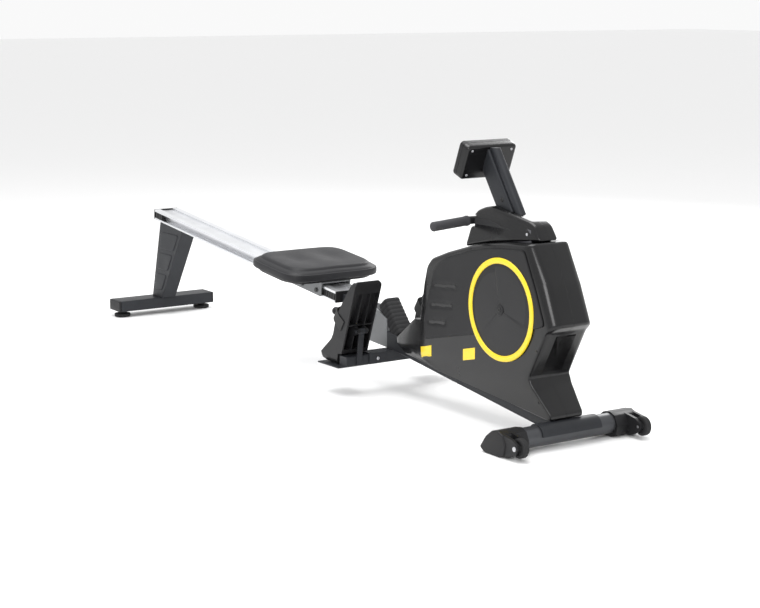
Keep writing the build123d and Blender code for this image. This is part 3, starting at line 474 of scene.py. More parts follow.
# ---------------------------------------------------------------- pieces
def finished(name: str, points: np.ndarray, faces: np.ndarray, finish: Finish, body: str,
             replaced: Sequence[str] = (), wall: float = 0.0, mirror: bool = False,
             sharp: float = 40.0, level: int = 0) -> bpy.types.Object:
    """Write a surface into a mesh, dress it and join it to its body.

    Args:
        name: the piece's name.
        points: its points, in millimetres.
        faces: its faces.
        finish: its finish.
        body: the body that carries it.
        replaced: the nodes it stands for.
        wall: the thickness given to an open skin, in millimetres.
        mirror: whether it is on the machine's right.
        sharp: the angle past which an edge stays sharp, in degrees.
        level: how many times it is subdivided.

    Returns:
        The piece's object.
    """
    placed = points * MM * (np.array([1, -1, 1]) if mirror else 1)
    mesh = bpy.data.meshes.new(name)
    mesh.from_pydata(placed.tolist(), [], [[int(i) for i in face] for face in faces])
    build = bmesh.new()
    build.from_mesh(mesh)
    bmesh.ops.remove_doubles(build, verts=build.verts, dist=1e-6)
    bmesh.ops.recalc_face_normals(build, faces=build.faces)
    build.to_mesh(mesh)
    build.free()
    return dressed(bpy.data.objects.new(name, mesh), finish, body, replaced, wall, sharp, level)


def dressed(piece: bpy.types.Object, finish: Finish, body: str, replaced: Sequence[str] = (),
            wall: float = 0.0, sharp: float = 40.0, level: int = 0) -> bpy.types.Object:
    """Link an object, give it its finish and modifiers, and join it to its body.

    Args:
        piece: the object.
        finish: its finish.
        body: the body that carries it.
        replaced: the nodes it stands for.
        wall: the thickness given to an open skin, in millimetres.
        sharp: the angle past which an edge stays sharp, in degrees.
        level: how many times it is subdivided.

    Returns:
        The same object.
    """
    bpy.context.scene.collection.objects.link(piece)
    mesh = piece.data
    mesh.shade_smooth()
    mesh.set_sharp_from_angle(angle=radians(sharp))
    mesh.materials.clear()
    mesh.materials.append(finish.build())
    if wall:
        solid = piece.modifiers.new("wall", "SOLIDIFY")
        solid.thickness, solid.offset = wall * MM, -1
    if level:
        fine = piece.modifiers.new("fine", "SUBSURF")
        fine.levels = fine.render_levels = level
    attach(piece, body)
    if replaced:
        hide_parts(*replaced)
    LOG.info("%s: %d points, on %s", piece.name, len(mesh.vertices), body)
    return piece


def softened(node: str, finish: Finish, width: float, segments: int = 3) -> bpy.types.Object:
    """Stand for a node with a copy of it whose edges are rounded.

    Args:
        node: the node's name.
        finish: the finish.
        width: the width of the rounding, in millimetres.
        segments: the number of faces across the rounding.

    Returns:
        The piece's object.
    """
    source = frame["nodes"][node]
    build = bmesh.new()
    build.from_mesh(source.data)
    bmesh.ops.remove_doubles(build, verts=build.verts, dist=1e-5)
    bmesh.ops.dissolve_limit(build, angle_limit=radians(0.4), verts=build.verts, edges=build.edges)
    mesh = bpy.data.meshes.new(f"{node}_piece")
    build.to_mesh(mesh)
    build.free()
    piece = dressed(bpy.data.objects.new(mesh.name, mesh), finish, source["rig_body"], (node,))
    bevel = piece.modifiers.new("edges", "BEVEL")
    bevel.width, bevel.segments = width * MM, segments
    bevel.limit_method, bevel.angle_limit = "ANGLE", radians(32)
    bevel.harden_normals = True
    return piece


def coat(node: str, finish: Finish) -> None:
    """Give a node of the frame its finish and leave its shape alone.

    Args:
        node: the node's name.
        finish: the finish.
    """
    holder = frame["nodes"][node]
    holder.data.materials.clear()
    holder.data.materials.append(finish.build())
    LOG.info("%s: %s", node, finish.name)


def screw_head(name: str, centre: Sequence[float], axis: Sequence[float], radius: float, finish: Finish,
               body: str) -> bpy.types.Object:
    """A domed head with a cross recess, as a disc of rings whose height is a dome less the cross.

    Args:
        name: the piece's name.
        centre: the middle of the head's underside, in millimetres.
        axis: the direction the head faces.
        radius: its radius.
        finish: its finish.
        body: the body that carries it.

    Returns:
        The piece's object.
    """
    direction, side, up = axes_about(axis)
    ring, angle = np.meshgrid(np.linspace(0, 1, 12), np.linspace(0, 2 * pi, 48, endpoint=False),
                              indexing="ij")
    a, b = ring * radius * np.cos(angle), ring * radius * np.sin(angle)
    arm = np.minimum(np.abs(a), np.abs(b))
    cross = (1 - smooth_step(0.1 * radius, 0.2 * radius, arm)) * (1 - smooth_step(0.5, 0.62, ring))
    height = radius * (0.5 * np.sqrt(np.clip(1 - 0.9 * ring ** 2, 0, 1)) - 0.3 * cross)
    top = np.array(centre) + a[..., None] * side + b[..., None] * up + height[..., None] * direction
    base = np.array(centre) + a[-1:, :, None] * side + b[-1:, :, None] * up
    points = np.concatenate([top, base]).reshape(-1, 3)
    faces = [tuple(face) for face in grid_faces(13, 48, True)] + [tuple(range(12 * 48, 13 * 48))]
    return finished(name, points, np.array(faces, dtype=object), finish, body, sharp=50)


# ---------------------------------------------------------------- sub-assemblies
@dataclass
class Housing:
    """The flywheel housing: two half shells, side panels, trim rings, discs and plain stripes."""

    half_width: float = 70.0
    ring_centre: tuple[float, float] = (947.0, 337.5)
    ring_outer: float = 140.0
    ring_inner: float = 123.5
    seam: float = 0.5
    wall: float = 3.0
    outline: tuple[tuple[float, float], ...] = (
        (1062, 527), (1122, 424), (1165, 322), (1139, 302), (1068, 172), (1078, 152), (1141, 84), (1141, 70),
        (1112, 68), (452, 129), (404, 150), (400, 172), (524, 248), (560, 252), (586, 362), (600, 412),
        (622, 436), (694, 462), (798, 492), (866, 506), (952, 518))
    edge_in: tuple[float, ...] = (30, 30, 5, 9, 6, 6, 4, 3, 5, 5, 5, 6, 5, 10, 10, 10, 10, 10, 10, 10, 11)
    edge_down: tuple[float, ...] = (32, 32, 28, 9, 7, 8, 5, 3, 6, 6, 6, 9, 7, 12, 12, 12, 13, 13, 13, 13, 13)
    panel: tuple[tuple[float, float], ...] = (
        (598, 200), (594, 260), (641, 404), (658, 423), (700, 446), (812, 480), (908, 500), (1040, 509),
        (1090, 410), (1128, 320), (1096, 309), (848, 256))
    louvres: tuple[tuple[float, float, float], ...] = ((628, 363, 128), (616, 307, 122), (604, 256, 104))
    screws: tuple[tuple[float, float], ...] = (
        (806, 485), (606, 358), (1098, 250), (1098, 112), (560, 150))
    stripes: tuple[tuple[float, ...], ...] = ((572, 142, 56, 32), (778, 170, 54, 32))

    def side(self, x: np.ndarray, z: np.ndarray) -> np.ndarray:
        """Half width: level, drawn in towards the beam below and towards the neck behind."""
        low = 0.19 * np.minimum(0, z - 158)
        rear = 0.185 * np.minimum(0, x - 590)
        return self.half_width + low + rear

    def panel_side(self, x: np.ndarray, z: np.ndarray) -> np.ndarray:
        """The panel's face: level, with three sloping louvres pressed in."""
        face = np.full_like(x, self.half_width + 3.4)
        for start, level, length in self.louvres:
            end = start + length
            along = smooth_step(start, start + 16, x) * (1 - smooth_step(end - 20, end, x))
            middle = level + 0.10 * (x - start)
            across = z - middle
            dip = smooth_step(-12, -7, across) * (1 - smooth_step(-3, 9, across))
            face = face - 4.2 * along * dip
        return face

    def shells(self) -> None:
        """Make the two half shells."""
        plate = Plate(self.outline, self.side, self.seam, self.edge_in, self.edge_down, corner=9,
                      net_mm=22, lead_in=0.0, closed=False)
        points, faces = plate.points()
        for side, mirror in MIRRORED:
            finished(f"housing_shell_{side}", points, faces, GLOSS, "frame", (f"housing_{side}",),
                     wall=self.wall, mirror=mirror, sharp=24)

    def panels(self) -> None:
        """Make the inset side panels, undercut all round so that they stand in a dark gap."""
        plate = Plate(self.panel, self.panel_side, self.half_width - 0.4, 3.0, 3.0, corner=13, net_mm=5.0,
                      lead_in=3.2)
        points, faces = plate.points()
        made = [finished(f"side_panel_{side}", points, faces, SATIN, "frame", mirror=mirror, sharp=60)
                for side, mirror in MIRRORED]
        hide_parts("side_panels")

    def rings(self) -> None:
        """Make the trim rings, whose section is a low rounded band."""
        x, z = self.ring_centre
        turn = np.linspace(0, pi, 11)
        middle, half = (self.ring_outer + self.ring_inner) / 2, (self.ring_outer - self.ring_inner) / 2
        base, rise = self.half_width + 2.0, 5.2
        crown = np.stack([base + rise * np.sin(turn) ** 0.5, middle - half * np.cos(turn)], 1)
        profile = np.concatenate([crown, crown[:1]])
        for side, sign in SIGNED:
            points, faces = turned(profile, (x, 0, z), (0, sign, 0), 128)
            piece = finished(f"trim_ring_{side}", points, faces, YELLOW, "frame", sharp=60)
            if sign > 0:
                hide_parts("trim_rings")

    def discs(self) -> None:
        """Make the dark discs: a shallow cone with three facets, and a hub with its screw.

        The facet's height falls in a straight saw-tooth over each third of a turn.
        """
        x, z = self.ring_centre
        ring, angle = np.meshgrid(np.linspace(0.07, 1, 40), np.linspace(0, 2 * pi, 192, endpoint=False),
                                  indexing="ij")
        sweep = (angle / (2 * pi) * 3 + 0.12) % 1.0
        tooth = sweep * (1 - smooth_step(0.95, 1.0, sweep))
        radius = ring * (self.ring_inner + 0.6)
        out = self.half_width + 3.0 + 2.2 * (1 - ring) + 4.2 * tooth * (1 - ring) * np.sqrt(ring)
        for side, sign in SIGNED:
            face = np.stack([x + radius * np.cos(angle), sign * out, z + radius * np.sin(angle)], -1)
            back = face[-1:] * [1, 0, 1] + np.array([0, sign * (self.half_width - 1.0), 0])
            centre = np.broadcast_to(np.array([x, sign * (self.half_width + 3), z]), face[:1].shape)
            points = np.concatenate([centre, face, back]).reshape(-1, 3)
            piece = finished(f"disc_cover_{side}", points, grid_faces(42, 192, True), DISC, "frame", sharp=20)
            if sign > 0:
                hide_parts("disc_covers")
            hub, hub_faces = turned(bead(self.half_width + 3, self.half_width + 7.5, 15.5, 1.6),
                                    (x, 0, z), (0, sign, 0), 48)
            finished(f"disc_hub_{side}", hub, hub_faces, SATIN, "frame")
            screw_head(f"disc_screw_{side}", (x, sign * (self.half_width + 7.4), z), (0, sign, 0), 5.5,
                       BLACK_SCREW, "frame")

    def small_pieces(self) -> None:
        """Make the cover screws and the plain yellow stripes, and soften the chin cover."""
        first = True
        for number, (x, z) in enumerate(self.screws):
            y = float(self.side(np.array(x), np.array(z))) - 0.6
            for side, sign in SIGNED:
                head = screw_head(f"cover_screw_{side}_{number}", (x, sign * y, z), (0, sign, 0), 4.2,
                                  BLACK_SCREW, "frame")
                if first:
                    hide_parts("cover_screws")
                first = False
        for number, (x, z, long, high) in enumerate(self.stripes):
            lean = 0.24 * long
            outline = ((x, z), (x + long, z + lean), (x + long, z + lean + high), (x, z + high))
            points, faces = Plate(outline, lambda a, b: self.side(a, b) + 0.5, self.half_width - 6, 0.3, 0.3,
                                  corner=1.5, net_mm=12).points()
            for side, mirror in MIRRORED:
                finished(f"stripe_{side}_{number}", points, faces, YELLOW, "frame", mirror=mirror)
        softened("chin_cover", GLOSS, 0.8)

    def build(self) -> None:
        """Make the whole housing."""
        self.shells()
        self.panels()
        self.rings()
        self.discs()
        self.small_pieces()


@dataclass
class TopCover:
    """The cradle on top of the housing, in two halves, with a painted shadow of the handle on each side."""

    foot_half: float = 48.0
    taper: float = 0.14
    outline: tuple[tuple[float, float], ...] = (
        (757, 484), (772, 541), (786, 543), (787, 571), (779, 573), (795, 588), (823, 598), (857, 604.5),
        (1016, 577), (1033, 567), (1057, 530), (952, 519), (866, 507), (798, 493))
    # Outline of the painted handle shadow on each half's side, in X and Z.
    shadow_outline: tuple[tuple[float, float], ...] = ((789, 549), (789, 568), (872, 563), (948, 549))

    def side(self, x: np.ndarray, z: np.ndarray) -> np.ndarray:
        """Half width, which falls with height and towards the front."""
        return self.foot_half - self.taper * (z - 520) - 0.1 * np.maximum(0, x - 920)

    def build(self) -> None:
        """Make both halves and the painted handle shadows."""
        points, faces = Plate(self.outline, self.side, 0.4, 8.0, 9.0, corner=8, net_mm=12,
                              closed=False).points()
        # Painted shadow: a dark rubber sheet laid just proud of each half's side, where the handle's shadow
        # falls.
        dark, shadow_faces = Plate(self.shadow_outline, lambda x, z: self.side(x, z) + 0.5, 30, 1.0, 1.0, corner=7,
                                 net_mm=8, lead_in=0).points()
        for side, mirror in MIRRORED:
            cover = finished(f"top_cover_{side}", points, faces, GLOSS, "frame", wall=2.5, mirror=mirror,
                             sharp=24)
            # Each half's painted handle shadow, as a dark rubber sheet.
            finished(f"painted_handle_shadow_{side}", dark, shadow_faces, RUBBER, "frame", mirror=mirror)
            sign = -1 if mirror else 1
            screw_head(f"top_screw_{side}", (1006, sign * 33.6, 555), (0, sign, 0.1), 4, BLACK_SCREW, "frame")
            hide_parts("top_cover_cheeks" if mirror else "top_cover_band")


@dataclass
class Console:
    """The console on its mast."""

    centre: tuple[float, float, float] = (776.0, 0.0, 723.0)
    tilt: float = 22.0
    half_depth: float = 20.0
    screw_across: float = 66.0
    screw_up: float = 36.0

    def build(self) -> None:
        """Soften the shells, dress the window and buttons, and add the screws behind."""
        softened("console_back", GLOSS, 3.0, segments=4)
        softened("console_front", SATIN, 1.0)
        softened("mast", POWDER, 1.4)
        coat("console_lens", LENS)
        for side in ("left", "middle", "right"):
            softened(f"console_button_{side}", BUTTON, 0.9)
        lean = radians(self.tilt)
        out = np.array([-cos(lean), 0, sin(lean)])
        up = np.array([sin(lean), 0, cos(lean)])
        for number, (across, rise) in enumerate(((-1, -1), (1, -1), (-1, 1), (1, 1))):
            place = (np.array(self.centre) - out * (self.half_depth - 0.3)
                     + np.array([0, across * self.screw_across, 0]) + up * rise * self.screw_up)
            screw_head(f"console_screw_{number}", place, -out, 3.6, ZINC, "frame")
        screw_head("mast_screw", (874, -15.8, 621), (0, -1, 0), 6, BLACK_SCREW, "frame")
        screw_head("mast_screw_left", (874, 15.8, 621), (0, 1, 0), 6, BLACK_SCREW, "frame")


@dataclass
class Handle:
    """The pull handle, its foam grips and the strap."""

    centre: tuple[float, float, float] = (770.0, 46.0, 557.0)
    droop: float = 4.2
    grip_radius: float = 13.5
    bore: float = 11.0
    start: float = 6.0
    end: float = 128.0

    def grips(self) -> None:
        """Make the grips: rounded bars whose skin has shallow rings."""
        turn = np.linspace(0, pi / 2, 7)
        along = np.linspace(self.start + 6, self.end - 8, 120)
        rings = 0.35 * np.cos(along * 2 * pi / 6.0)
        collar = 1.2 * (1 - smooth_step(self.start + 6, self.start + 12, along))
        body = np.stack([along, self.grip_radius - 0.4 + rings * 0.5 + collar], 1)
        head = np.stack([self.end - 8 + 8 * np.sin(turn), self.grip_radius * np.cos(turn) ** 0.5], 1)
        tail = np.array([[self.start, self.bore], [self.start, self.grip_radius + 0.4]])
        profile = np.concatenate([tail, body, head])
        for side, sign in SIGNED:
            axis = (0, sign * cos(radians(self.droop)), -sin(radians(self.droop)))
            points, faces = turned(profile, (self.centre[0], sign * self.centre[1], self.centre[2]), axis, 56)
            piece = finished(f"grip_{side}", points, faces, FOAM, "handle", sharp=60)
            if sign > 0:
                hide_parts("handle_grips")

    def strap(self, node: str, body: str) -> None:
        """Make the straight strap: a band with a raised woven edge on each side."""
        low, high = (np.array(corner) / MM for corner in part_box(node))
        across = np.linspace(-1, 1, 33)
        half = (high[1] - low[1]) / 2
        middle, thick = (high[2] + low[2]) / 2, (high[2] - low[2]) / 2
        bulge = thick * (0.72 + 0.28 * np.exp(-((np.abs(across) - 0.86) / 0.07) ** 2))
        bulge[[0, -1]] = 0.1
        top = np.stack([across * half, middle + bulge], 1)
        under = np.stack([across * half, middle - bulge], 1)[::-1]
        section = np.concatenate([top, under])
        along = np.linspace(low[0], high[0], 60)
        points = np.stack([np.broadcast_to(along[:, None], (60, len(section))),
                           np.broadcast_to(section[None, :, 0], (60, len(section))),
                           np.broadcast_to(section[None, :, 1], (60, len(section)))], -1).reshape(-1, 3)
        ends = [tuple(range(len(section)))[::-1], tuple(range(59 * len(section), 60 * len(section)))]
        faces = [tuple(face) for face in grid_faces(60, len(section), True)] + ends
        finished(f"{node}_piece", points, np.array(faces, dtype=object), WEBBING, body, (node,), sharp=60)

    def build(self) -> None:
        """Make the handle."""
        softened("handle_bar", SATIN, 0.8)
        self.grips()
        self.strap("pull_strap", "handle")
        coat("strap_return", WEBBING)


@dataclass
class Seat:
    """The moulded seat, its board, carriage and rollers."""

    thickness: float = 44.0
    exponent: float = 5.4
    tilt: float = 6.0

    def pad(self) -> None:
        """Make the pad: rings of a superellipse, crowned, with two hollows and a step at the rim.

        At ring r and angle a the plan point is r (A |cos a|^(2/n), B |sin a|^(2/n)); the height is level
        in the middle, falls at the rim as a superellipse in r, and dips in two round hollows.
        """
        low, high = (np.array(corner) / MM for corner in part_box("seat_pad"))
        centre = (low + high) / 2
        half_x, half_y = 140.0, (high[1] - low[1]) / 2
        angle = np.linspace(0, 2 * pi, 160, endpoint=False)
        ring = np.concatenate([[0.001], np.linspace(0.04, 0.86, 34), np.linspace(0.875, 1, 22)])
        power = 2 / self.exponent
        plan_x = np.sign(np.cos(angle)) * np.abs(np.cos(angle)) ** power
        plan_y = np.sign(np.sin(angle)) * np.abs(np.sin(angle)) ** power
        x, y = ring[:, None] * half_x * plan_x, ring[:, None] * half_y * plan_y
        fall = np.clip(1 - ring ** 9, 0, 1) ** 0.5
        step = 6.0 * smooth_step(0.84, 0.89, ring) * (1 - smooth_step(0.97, 1, ring))
        hollow = sum(np.exp(-(((x + 12) / 62) ** 2 + ((y - sign * 62) / 46) ** 2)) for sign in (-1, 1))
        ridge = np.exp(-(y / 26) ** 2) * smooth_step(-40, 90, x)
        edge = 0.42 * self.thickness
        top = edge + (self.thickness - edge) * fall[:, None] - step[:, None]
        top = top - 7.0 * hollow * fall[:, None]
        top = top + 1.8 * ridge * fall[:, None]
        rim = np.array([[1.0, 0.62], [1.0, 0.3], [0.985, 0.12], [0.95, 0.0], [0.6, 0.0], [0.001, 0.0]])
        under_x, under_y = rim[:, :1] * half_x * plan_x, rim[:, :1] * half_y * plan_y
        under = np.broadcast_to(rim[:, 1:] * edge, under_x.shape)
        flat = np.stack([np.concatenate([x, under_x]), np.concatenate([y, under_y]),
                         np.concatenate([top, under])], -1).reshape(-1, 3)
        lean = radians(self.tilt)
        up = np.array([sin(lean), 0, cos(lean)])
        base = np.array([centre[0], 0, centre[2]]) - 0.5 * self.thickness * up
        placed = np.stack([flat[:, 0] * cos(lean) + flat[:, 2] * sin(lean), flat[:, 1],
                           -flat[:, 0] * sin(lean) + flat[:, 2] * cos(lean)], 1) + base
        pad = finished("seat_cushion", placed, grid_faces(len(ring) + len(rim), 160, True), VINYL, "seat",
                       ("seat_pad",), sharp=70, level=1)

    def build(self) -> None:
        """Make the seat."""
        self.pad()
        softened("seat_base", SATIN, 2.0)
        softened("seat_carriage", STEEL_GREY, 1.0)
        coat("seat_rollers_front", RUBBER)
        coat("seat_rollers_rear", RUBBER)
        softened("roller_bolts", BLACK_SCREW, 0.8)


@dataclass
class RailAndLeg:
    """The aluminium rail with its ends, the folding arm, and the rear leg on its stabiliser."""

    leg_half: float = 28.0
    cells: int = 3

    def embossing(self) -> None:
        """Make the raised cells on the sides of the leg, one above another between its sloping edges."""
        bottom, top = 82.0, 318.0
        for number in range(self.cells):
            low = bottom + (top - bottom) * number / self.cells + 8
            high = bottom + (top - bottom) * (number + 1) / self.cells - 8
            corners = []
            for z in (low, high):
                share = (z - 62.0) / (345.0 - 62.0)
                rear, front = -1213 + 79 * share + 13, -1138 + 178 * share - 15
                corners.append((rear, front, z))
            (r0, f0, z0), (r1, f1, z1) = corners
            points, faces = Plate(((r0, z0), (f0, z0), (f1, z1), (r1, z1)),
                                  lambda x, z: np.full_like(x, self.leg_half + 2.4), self.leg_half - 1,
                                  3, 2.4, corner=12, net_mm=18).points()
            for side, mirror in MIRRORED:
                finished(f"leg_cell_{side}_{number}", points, faces, POWDER, "rail", mirror=mirror)

    def feet(self) -> None:
        """Make the round rubber feet, with a ribbed rim."""
        turn = np.linspace(0, pi / 2, 6)
        edge = np.stack([9 + 3 * np.sin(turn), 26.5 + 3 * np.cos(turn)], 1)
        profile = np.concatenate([[[0.2, 0.0], [0.0, 26.0], [2.5, 29.0]], edge, [[12.0, 13.0], [23.5, 11.5],
                                                                                 [23.5, 0.0]]])
        for side, sign in SIGNED:
            points, faces = turned(profile, (-1191.5, sign * 163.0, 0), (0, 0, 1), 72,
                                   lambda angle: 1 + 0.006 * np.cos(24 * angle))
            foot = finished(f"rear_foot_{side}", points, faces, RUBBER, "rail")
            if sign > 0:
                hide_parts("rear_feet")

    def build(self) -> None:
        """Make the rail and what folds with it."""
        softened("rail", ALUMINIUM, 0.5, segments=2)
        softened("rail_ends", SATIN, 0.6, segments=2)
        softened("fold_arm", POWDER, 1.0)
        softened("rear_leg", POWDER, 2.2)
        softened("rear_stabiliser", POWDER, 1.0)
        softened("rear_caps", SATIN, 1.0)
        self.embossing()
        self.feet()


@dataclass
class Pedals:
    """The footplates, their straps, the crossbar and the brackets."""

    middle: float = 145.0
    strap_half_width: float = 49.0
    strap_height: float = 54.0
    strap_long: float = 34.0
    heel: tuple[float, float] = (268.0, 104.0)
    toe: tuple[float, float] = (415.0, 340.0)
    strap_at: float = 135.0

    def strap(self, side: str, sign: int) -> None:
        """Make a strap: a wavy band carried along an arch of a superellipse over the instep."""
        heel, toe = np.array(self.heel), np.array(self.toe)
        along = (toe - heel) / np.linalg.norm(toe - heel)
        out = np.array([-along[1], along[0]])
        origin = heel + along * self.strap_at
        angle = np.linspace(-0.12, pi + 0.12, 72)
        power = 2 / 3.4
        arch_y = np.sign(np.cos(angle)) * np.abs(np.cos(angle)) ** power * self.strap_half_width
        arch_up = np.sign(np.sin(angle)) * np.abs(np.sin(angle)) ** power * self.strap_height
        width = np.linspace(-0.5, 0.5, 21)
        edge = 0.5 * np.exp(-((np.abs(width) - 0.44) / 0.04) ** 2)
        lift = arch_up[:, None] + edge[None, :]
        shift = width[None, :] * self.strap_long + 1.2 * np.sin(3 * angle)[:, None]
        x = origin[0] + along[0] * shift + out[0] * lift
        z = origin[1] + along[1] * shift + out[1] * lift
        y = sign * (self.middle + np.broadcast_to(arch_y[:, None], x.shape))
        points = np.stack([x, y, z], -1).reshape(-1, 3)
        finished(f"instep_strap_{side}", points, grid_faces(72, 21, False), WEBBING, f"pedal_{side}",
                 (f"pedal_strap_{side}",), wall=1.6, sharp=60)

    def build(self) -> None:
        """Make the pedals."""
        for side, sign in SIGNED:
            softened(f"pedal_{side}", SATIN, 1.6)
            self.strap(side, sign)
        softened("pedal_crossbar", POWDER, 1.0)
        softened("pedal_brackets", POWDER, 0.8)
        for side, sign in SIGNED:
            screw_head(f"saddle_screw_{side}", (372.2, sign * 80, 106), (1, 0, 0), 5, ZINC, "frame")


@dataclass
class Neck:
    """The ribbed cover of the neck, the hinge bracket, its bolt, and the two knobs."""

    foot: tuple[float, float] = (390.0, 168.0)
    head: tuple[float, float] = (311.0, 259.0)
    ribs: int = 9
    knob_centre: tuple[float, float, float] = (540.0, 0.0, 326.0)
    knob_lean: float = 76.7

    def boot(self) -> None:
        """Make the ribbed cover: a rounded section carried up the neck, its size rising and falling."""
        foot, head = np.array(self.foot), np.array(self.head)
        share = np.linspace(0, 1, 100)
        swell = 1.0 + 0.05 * np.abs(np.sin(share * pi * self.ribs)) ** 0.6
        swell[[0, -1]] = 0.02
        angle = np.linspace(0, 2 * pi, 48, endpoint=False)
        across = np.sign(np.cos(angle)) * np.abs(np.cos(angle)) ** 0.45 * 27
        deep = np.sign(np.sin(angle)) * np.abs(np.sin(angle)) ** 0.45 * 24
        up = (head - foot) / np.linalg.norm(head - foot)
        normal = np.array([up[1], -up[0]])
        middle = foot + (head - foot) * share[:, None]
        x = middle[:, :1] + normal[0] * deep * swell[:, None]
        z = middle[:, 1:] + normal[1] * deep * swell[:, None]
        y = np.broadcast_to(across, x.shape) * swell[:, None]
        points = np.stack([x, y, z], -1).reshape(-1, 3)
        finished("neck_boot", points, grid_faces(100, 48, True), RUBBER, "frame", ("neck_post",), sharp=70)

    def knobs(self) -> None:
        """Make the ball of the lock pin and the fluted resistance knob."""
        low, high = (np.array(corner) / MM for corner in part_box("lock_knob"))
        turn = np.linspace(0, pi, 25)
        x, z, radius = (low[0] + high[0]) / 2, (low[2] + high[2]) / 2, (high[0] - low[0]) / 2
        ball = np.stack([-radius * np.cos(turn), radius * np.sin(turn)], 1)
        points, faces = turned(ball, (x, low[1] + radius, z), (0, 1, 0), 48)
        finished("lock_ball", points, faces, SATIN, "lock", ("lock_knob",))
        points, faces = turned(bead(low[1] + 2 * radius - 3, high[1], 5, 0.6), (x, 0, z), (0, 1, 0), 32)
        finished("lock_pin", points, faces, ZINC, "lock")
        lean = radians(self.knob_lean)
        axis = (-sin(lean), 0, cos(lean))
        edge = np.linspace(0, pi / 2, 7)
        crown = np.stack([9 + 3 * np.sin(edge), 22 + 3 * np.cos(edge)], 1)
        profile = np.concatenate([[[-46, 0.0], [-46, 7.0], [-12, 7.0], [-12, 23.5], [-11, 25.0]], crown,
                                  [[11.6, 18.0], [10.4, 16.5], [10.4, 0.0]]])
        points, faces = turned(profile, self.knob_centre, axis, 144,
                               lambda angle: 1 - 0.06 * np.abs(np.cos(6 * angle)) ** 8)
        finished("tension_knob", points, faces, SATIN, "knob", ("resistance_knob",), sharp=60)

    def build(self) -> None:
        """Make the neck."""
        self.boot()
        self.knobs()
        softened("hinge_bracket", STEEL_GREY, 1.2)
        softened("fold_bolt", ZINC, 0.8)
        softened("main_beam", POWDER, 1.0)


@dataclass
class FrontStand:
    """The front tube with its end caps and transport wheels."""

    wheel: tuple[float, float, float] = (1208.0, 207.0, 35.0)
    radius: float = 26.0
    half_width: float = 8.0

    def build(self) -> None:
        """Make the front stand."""
        softened("front_stabiliser", TUBE, 0.4, segments=2)
        softened("front_caps", SATIN, 3.0, segments=4)
        softened("wheel_axles", ZINC, 0.6)
        r, w = self.radius, self.half_width
        edge = np.linspace(0, pi / 2, 6)
        left = np.stack([-w + 2.6 * (1 - np.cos(edge)), r - 2.6 * (1 - np.sin(edge))], 1)
        right = np.stack([w - 2.6 * (1 - np.cos(edge)), r - 2.6 * (1 - np.sin(edge))], 1)[::-1]
        profile = np.concatenate([[[-w, 4.1], [-w, 8.0], [-w + 3, 9.5], [-w + 3, 17.5], [-w, 19.0]],
                                  left, right,
                                  [[w, 19.0], [w - 3, 17.5], [w - 3, 9.5], [w, 8.0], [w, 4.1], [-w, 4.1]]])
        for side, sign in SIGNED:
            x, y, z = self.wheel
            points, faces = turned(profile, (x, sign * y, z), (0, 1, 0), 72)
            finished(f"wheel_{side}", points, faces, RUBBER, f"wheel_{side}", (f"transport_wheel_{side}",))


@dataclass
class Drive:
    """What turns inside the housing, which keeps the frame's shapes."""

    finishes: dict[str, Finish] = field(default_factory=lambda: {
        "axle_plates": PRIMER, "flywheel": IRON, "flywheel_bearings": ZINC, "drive_shafts": ZINC,
        "strap_reel": SATIN, "recoil_spring": ZINC, "drive_belt": BELT, "idler_roller": SATIN,
        "magnet_bracket": PRIMER, "brake_magnets": NICKEL})

    def build(self) -> None:
        """Give each inner node its finish."""
        for node, finish in self.finishes.items():
            coat(node, finish)


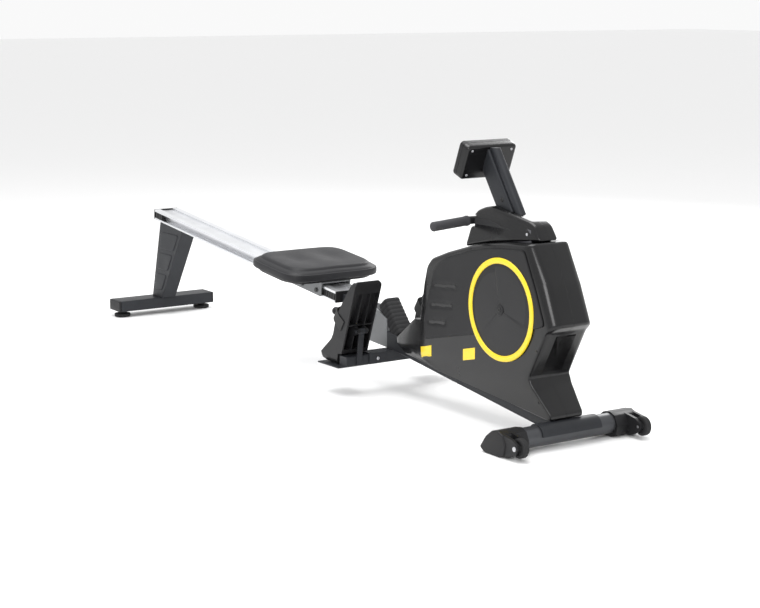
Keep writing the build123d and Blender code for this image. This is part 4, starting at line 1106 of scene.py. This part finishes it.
@dataclass
class Studio:
    """A plain pale floor, soft lights and the camera."""

    position: tuple[float, float, float] = (4.5186, -2.8612, 1.1621)
    right: tuple[float, float, float] = (0.558, 0.8298, 0.0)
    up: tuple[float, float, float] = (-0.1462, 0.0983, 0.9844)
    back: tuple[float, float, float] = (0.8169, -0.5493, 0.1761)
    lens: float = 81.75

    def lamp(self, name: str, place: Sequence[float], size: float, power: float) -> None:
        """Add a square area light that faces the machine.

        Args:
            name: its name.
            place: where it stands, in metres.
            size: its side, in metres.
            power: its power, in watts.
        """
        light = bpy.data.lights.new(name, "AREA")
        light.size, light.energy = size, power
        holder = bpy.data.objects.new(name, light)
        holder.location = place
        holder.rotation_euler = (Vector((0.1, 0, 0.3)) - Vector(place)).to_track_quat("-Z", "Y").to_euler()
        bpy.context.scene.collection.objects.link(holder)

    def build(self) -> None:
        """Make the floor, the lights, the sky and the camera."""
        mesh = bpy.data.meshes.new("floor")
        half = 40.0
        corners = [(-half, -half, 0), (half, -half, 0), (half, half, 0), (-half, half, 0)]
        mesh.from_pydata(corners, [], [(0, 1, 2, 3)])
        floor = bpy.data.objects.new("floor", mesh)
        paint = bpy.data.materials.new("pale_floor")
        paint.use_nodes = True
        paint.node_tree.nodes["Principled BSDF"].inputs["Base Color"].default_value = (0.9, 0.9, 0.9, 1)
        paint.node_tree.nodes["Principled BSDF"].inputs["Roughness"].default_value = 0.7
        mesh.materials.append(paint)
        bpy.context.scene.collection.objects.link(floor)
        world = bpy.context.scene.world or bpy.data.worlds.new("sky")
        bpy.context.scene.world = world
        world.use_nodes = True
        world.node_tree.nodes["Background"].inputs["Color"].default_value = (1, 1, 1, 1)
        world.node_tree.nodes["Background"].inputs["Strength"].default_value = 0.95
        bpy.context.scene.view_settings.view_transform = "Standard"
        self.lamp("overhead", (0.2, -0.4, 3.6), 2.6, 110)
        self.lamp("right_front", (3.4, -2.6, 2.2), 1.6, 60)
        self.lamp("left_rear", (-1.5, 3.2, 2.4), 1.8, 60)
        camera = bpy.data.cameras.new("camera")
        camera.lens, camera.sensor_width, camera.clip_end = self.lens, 36.0, 200.0
        holder = bpy.data.objects.new("camera", camera)
        turn = Matrix((self.right, self.up, self.back)).transposed().to_4x4()
        holder.matrix_world = Matrix.Translation(self.position) @ turn
        bpy.context.scene.collection.objects.link(holder)
        bpy.context.scene.camera = holder


def main() -> None:
    """Build every sub-assembly in order."""
    logging.basicConfig(level=logging.INFO, format="%(name)s %(message)s")
    for assembly in (Studio(), Housing(), TopCover(), Console(), Handle(), Seat(), RailAndLeg(), Pedals(),
                     Neck(), FrontStand(), Drive()):
        LOG.info("building %s", type(assembly).__name__)
        assembly.build()


if __name__ == "__main__":
    main()
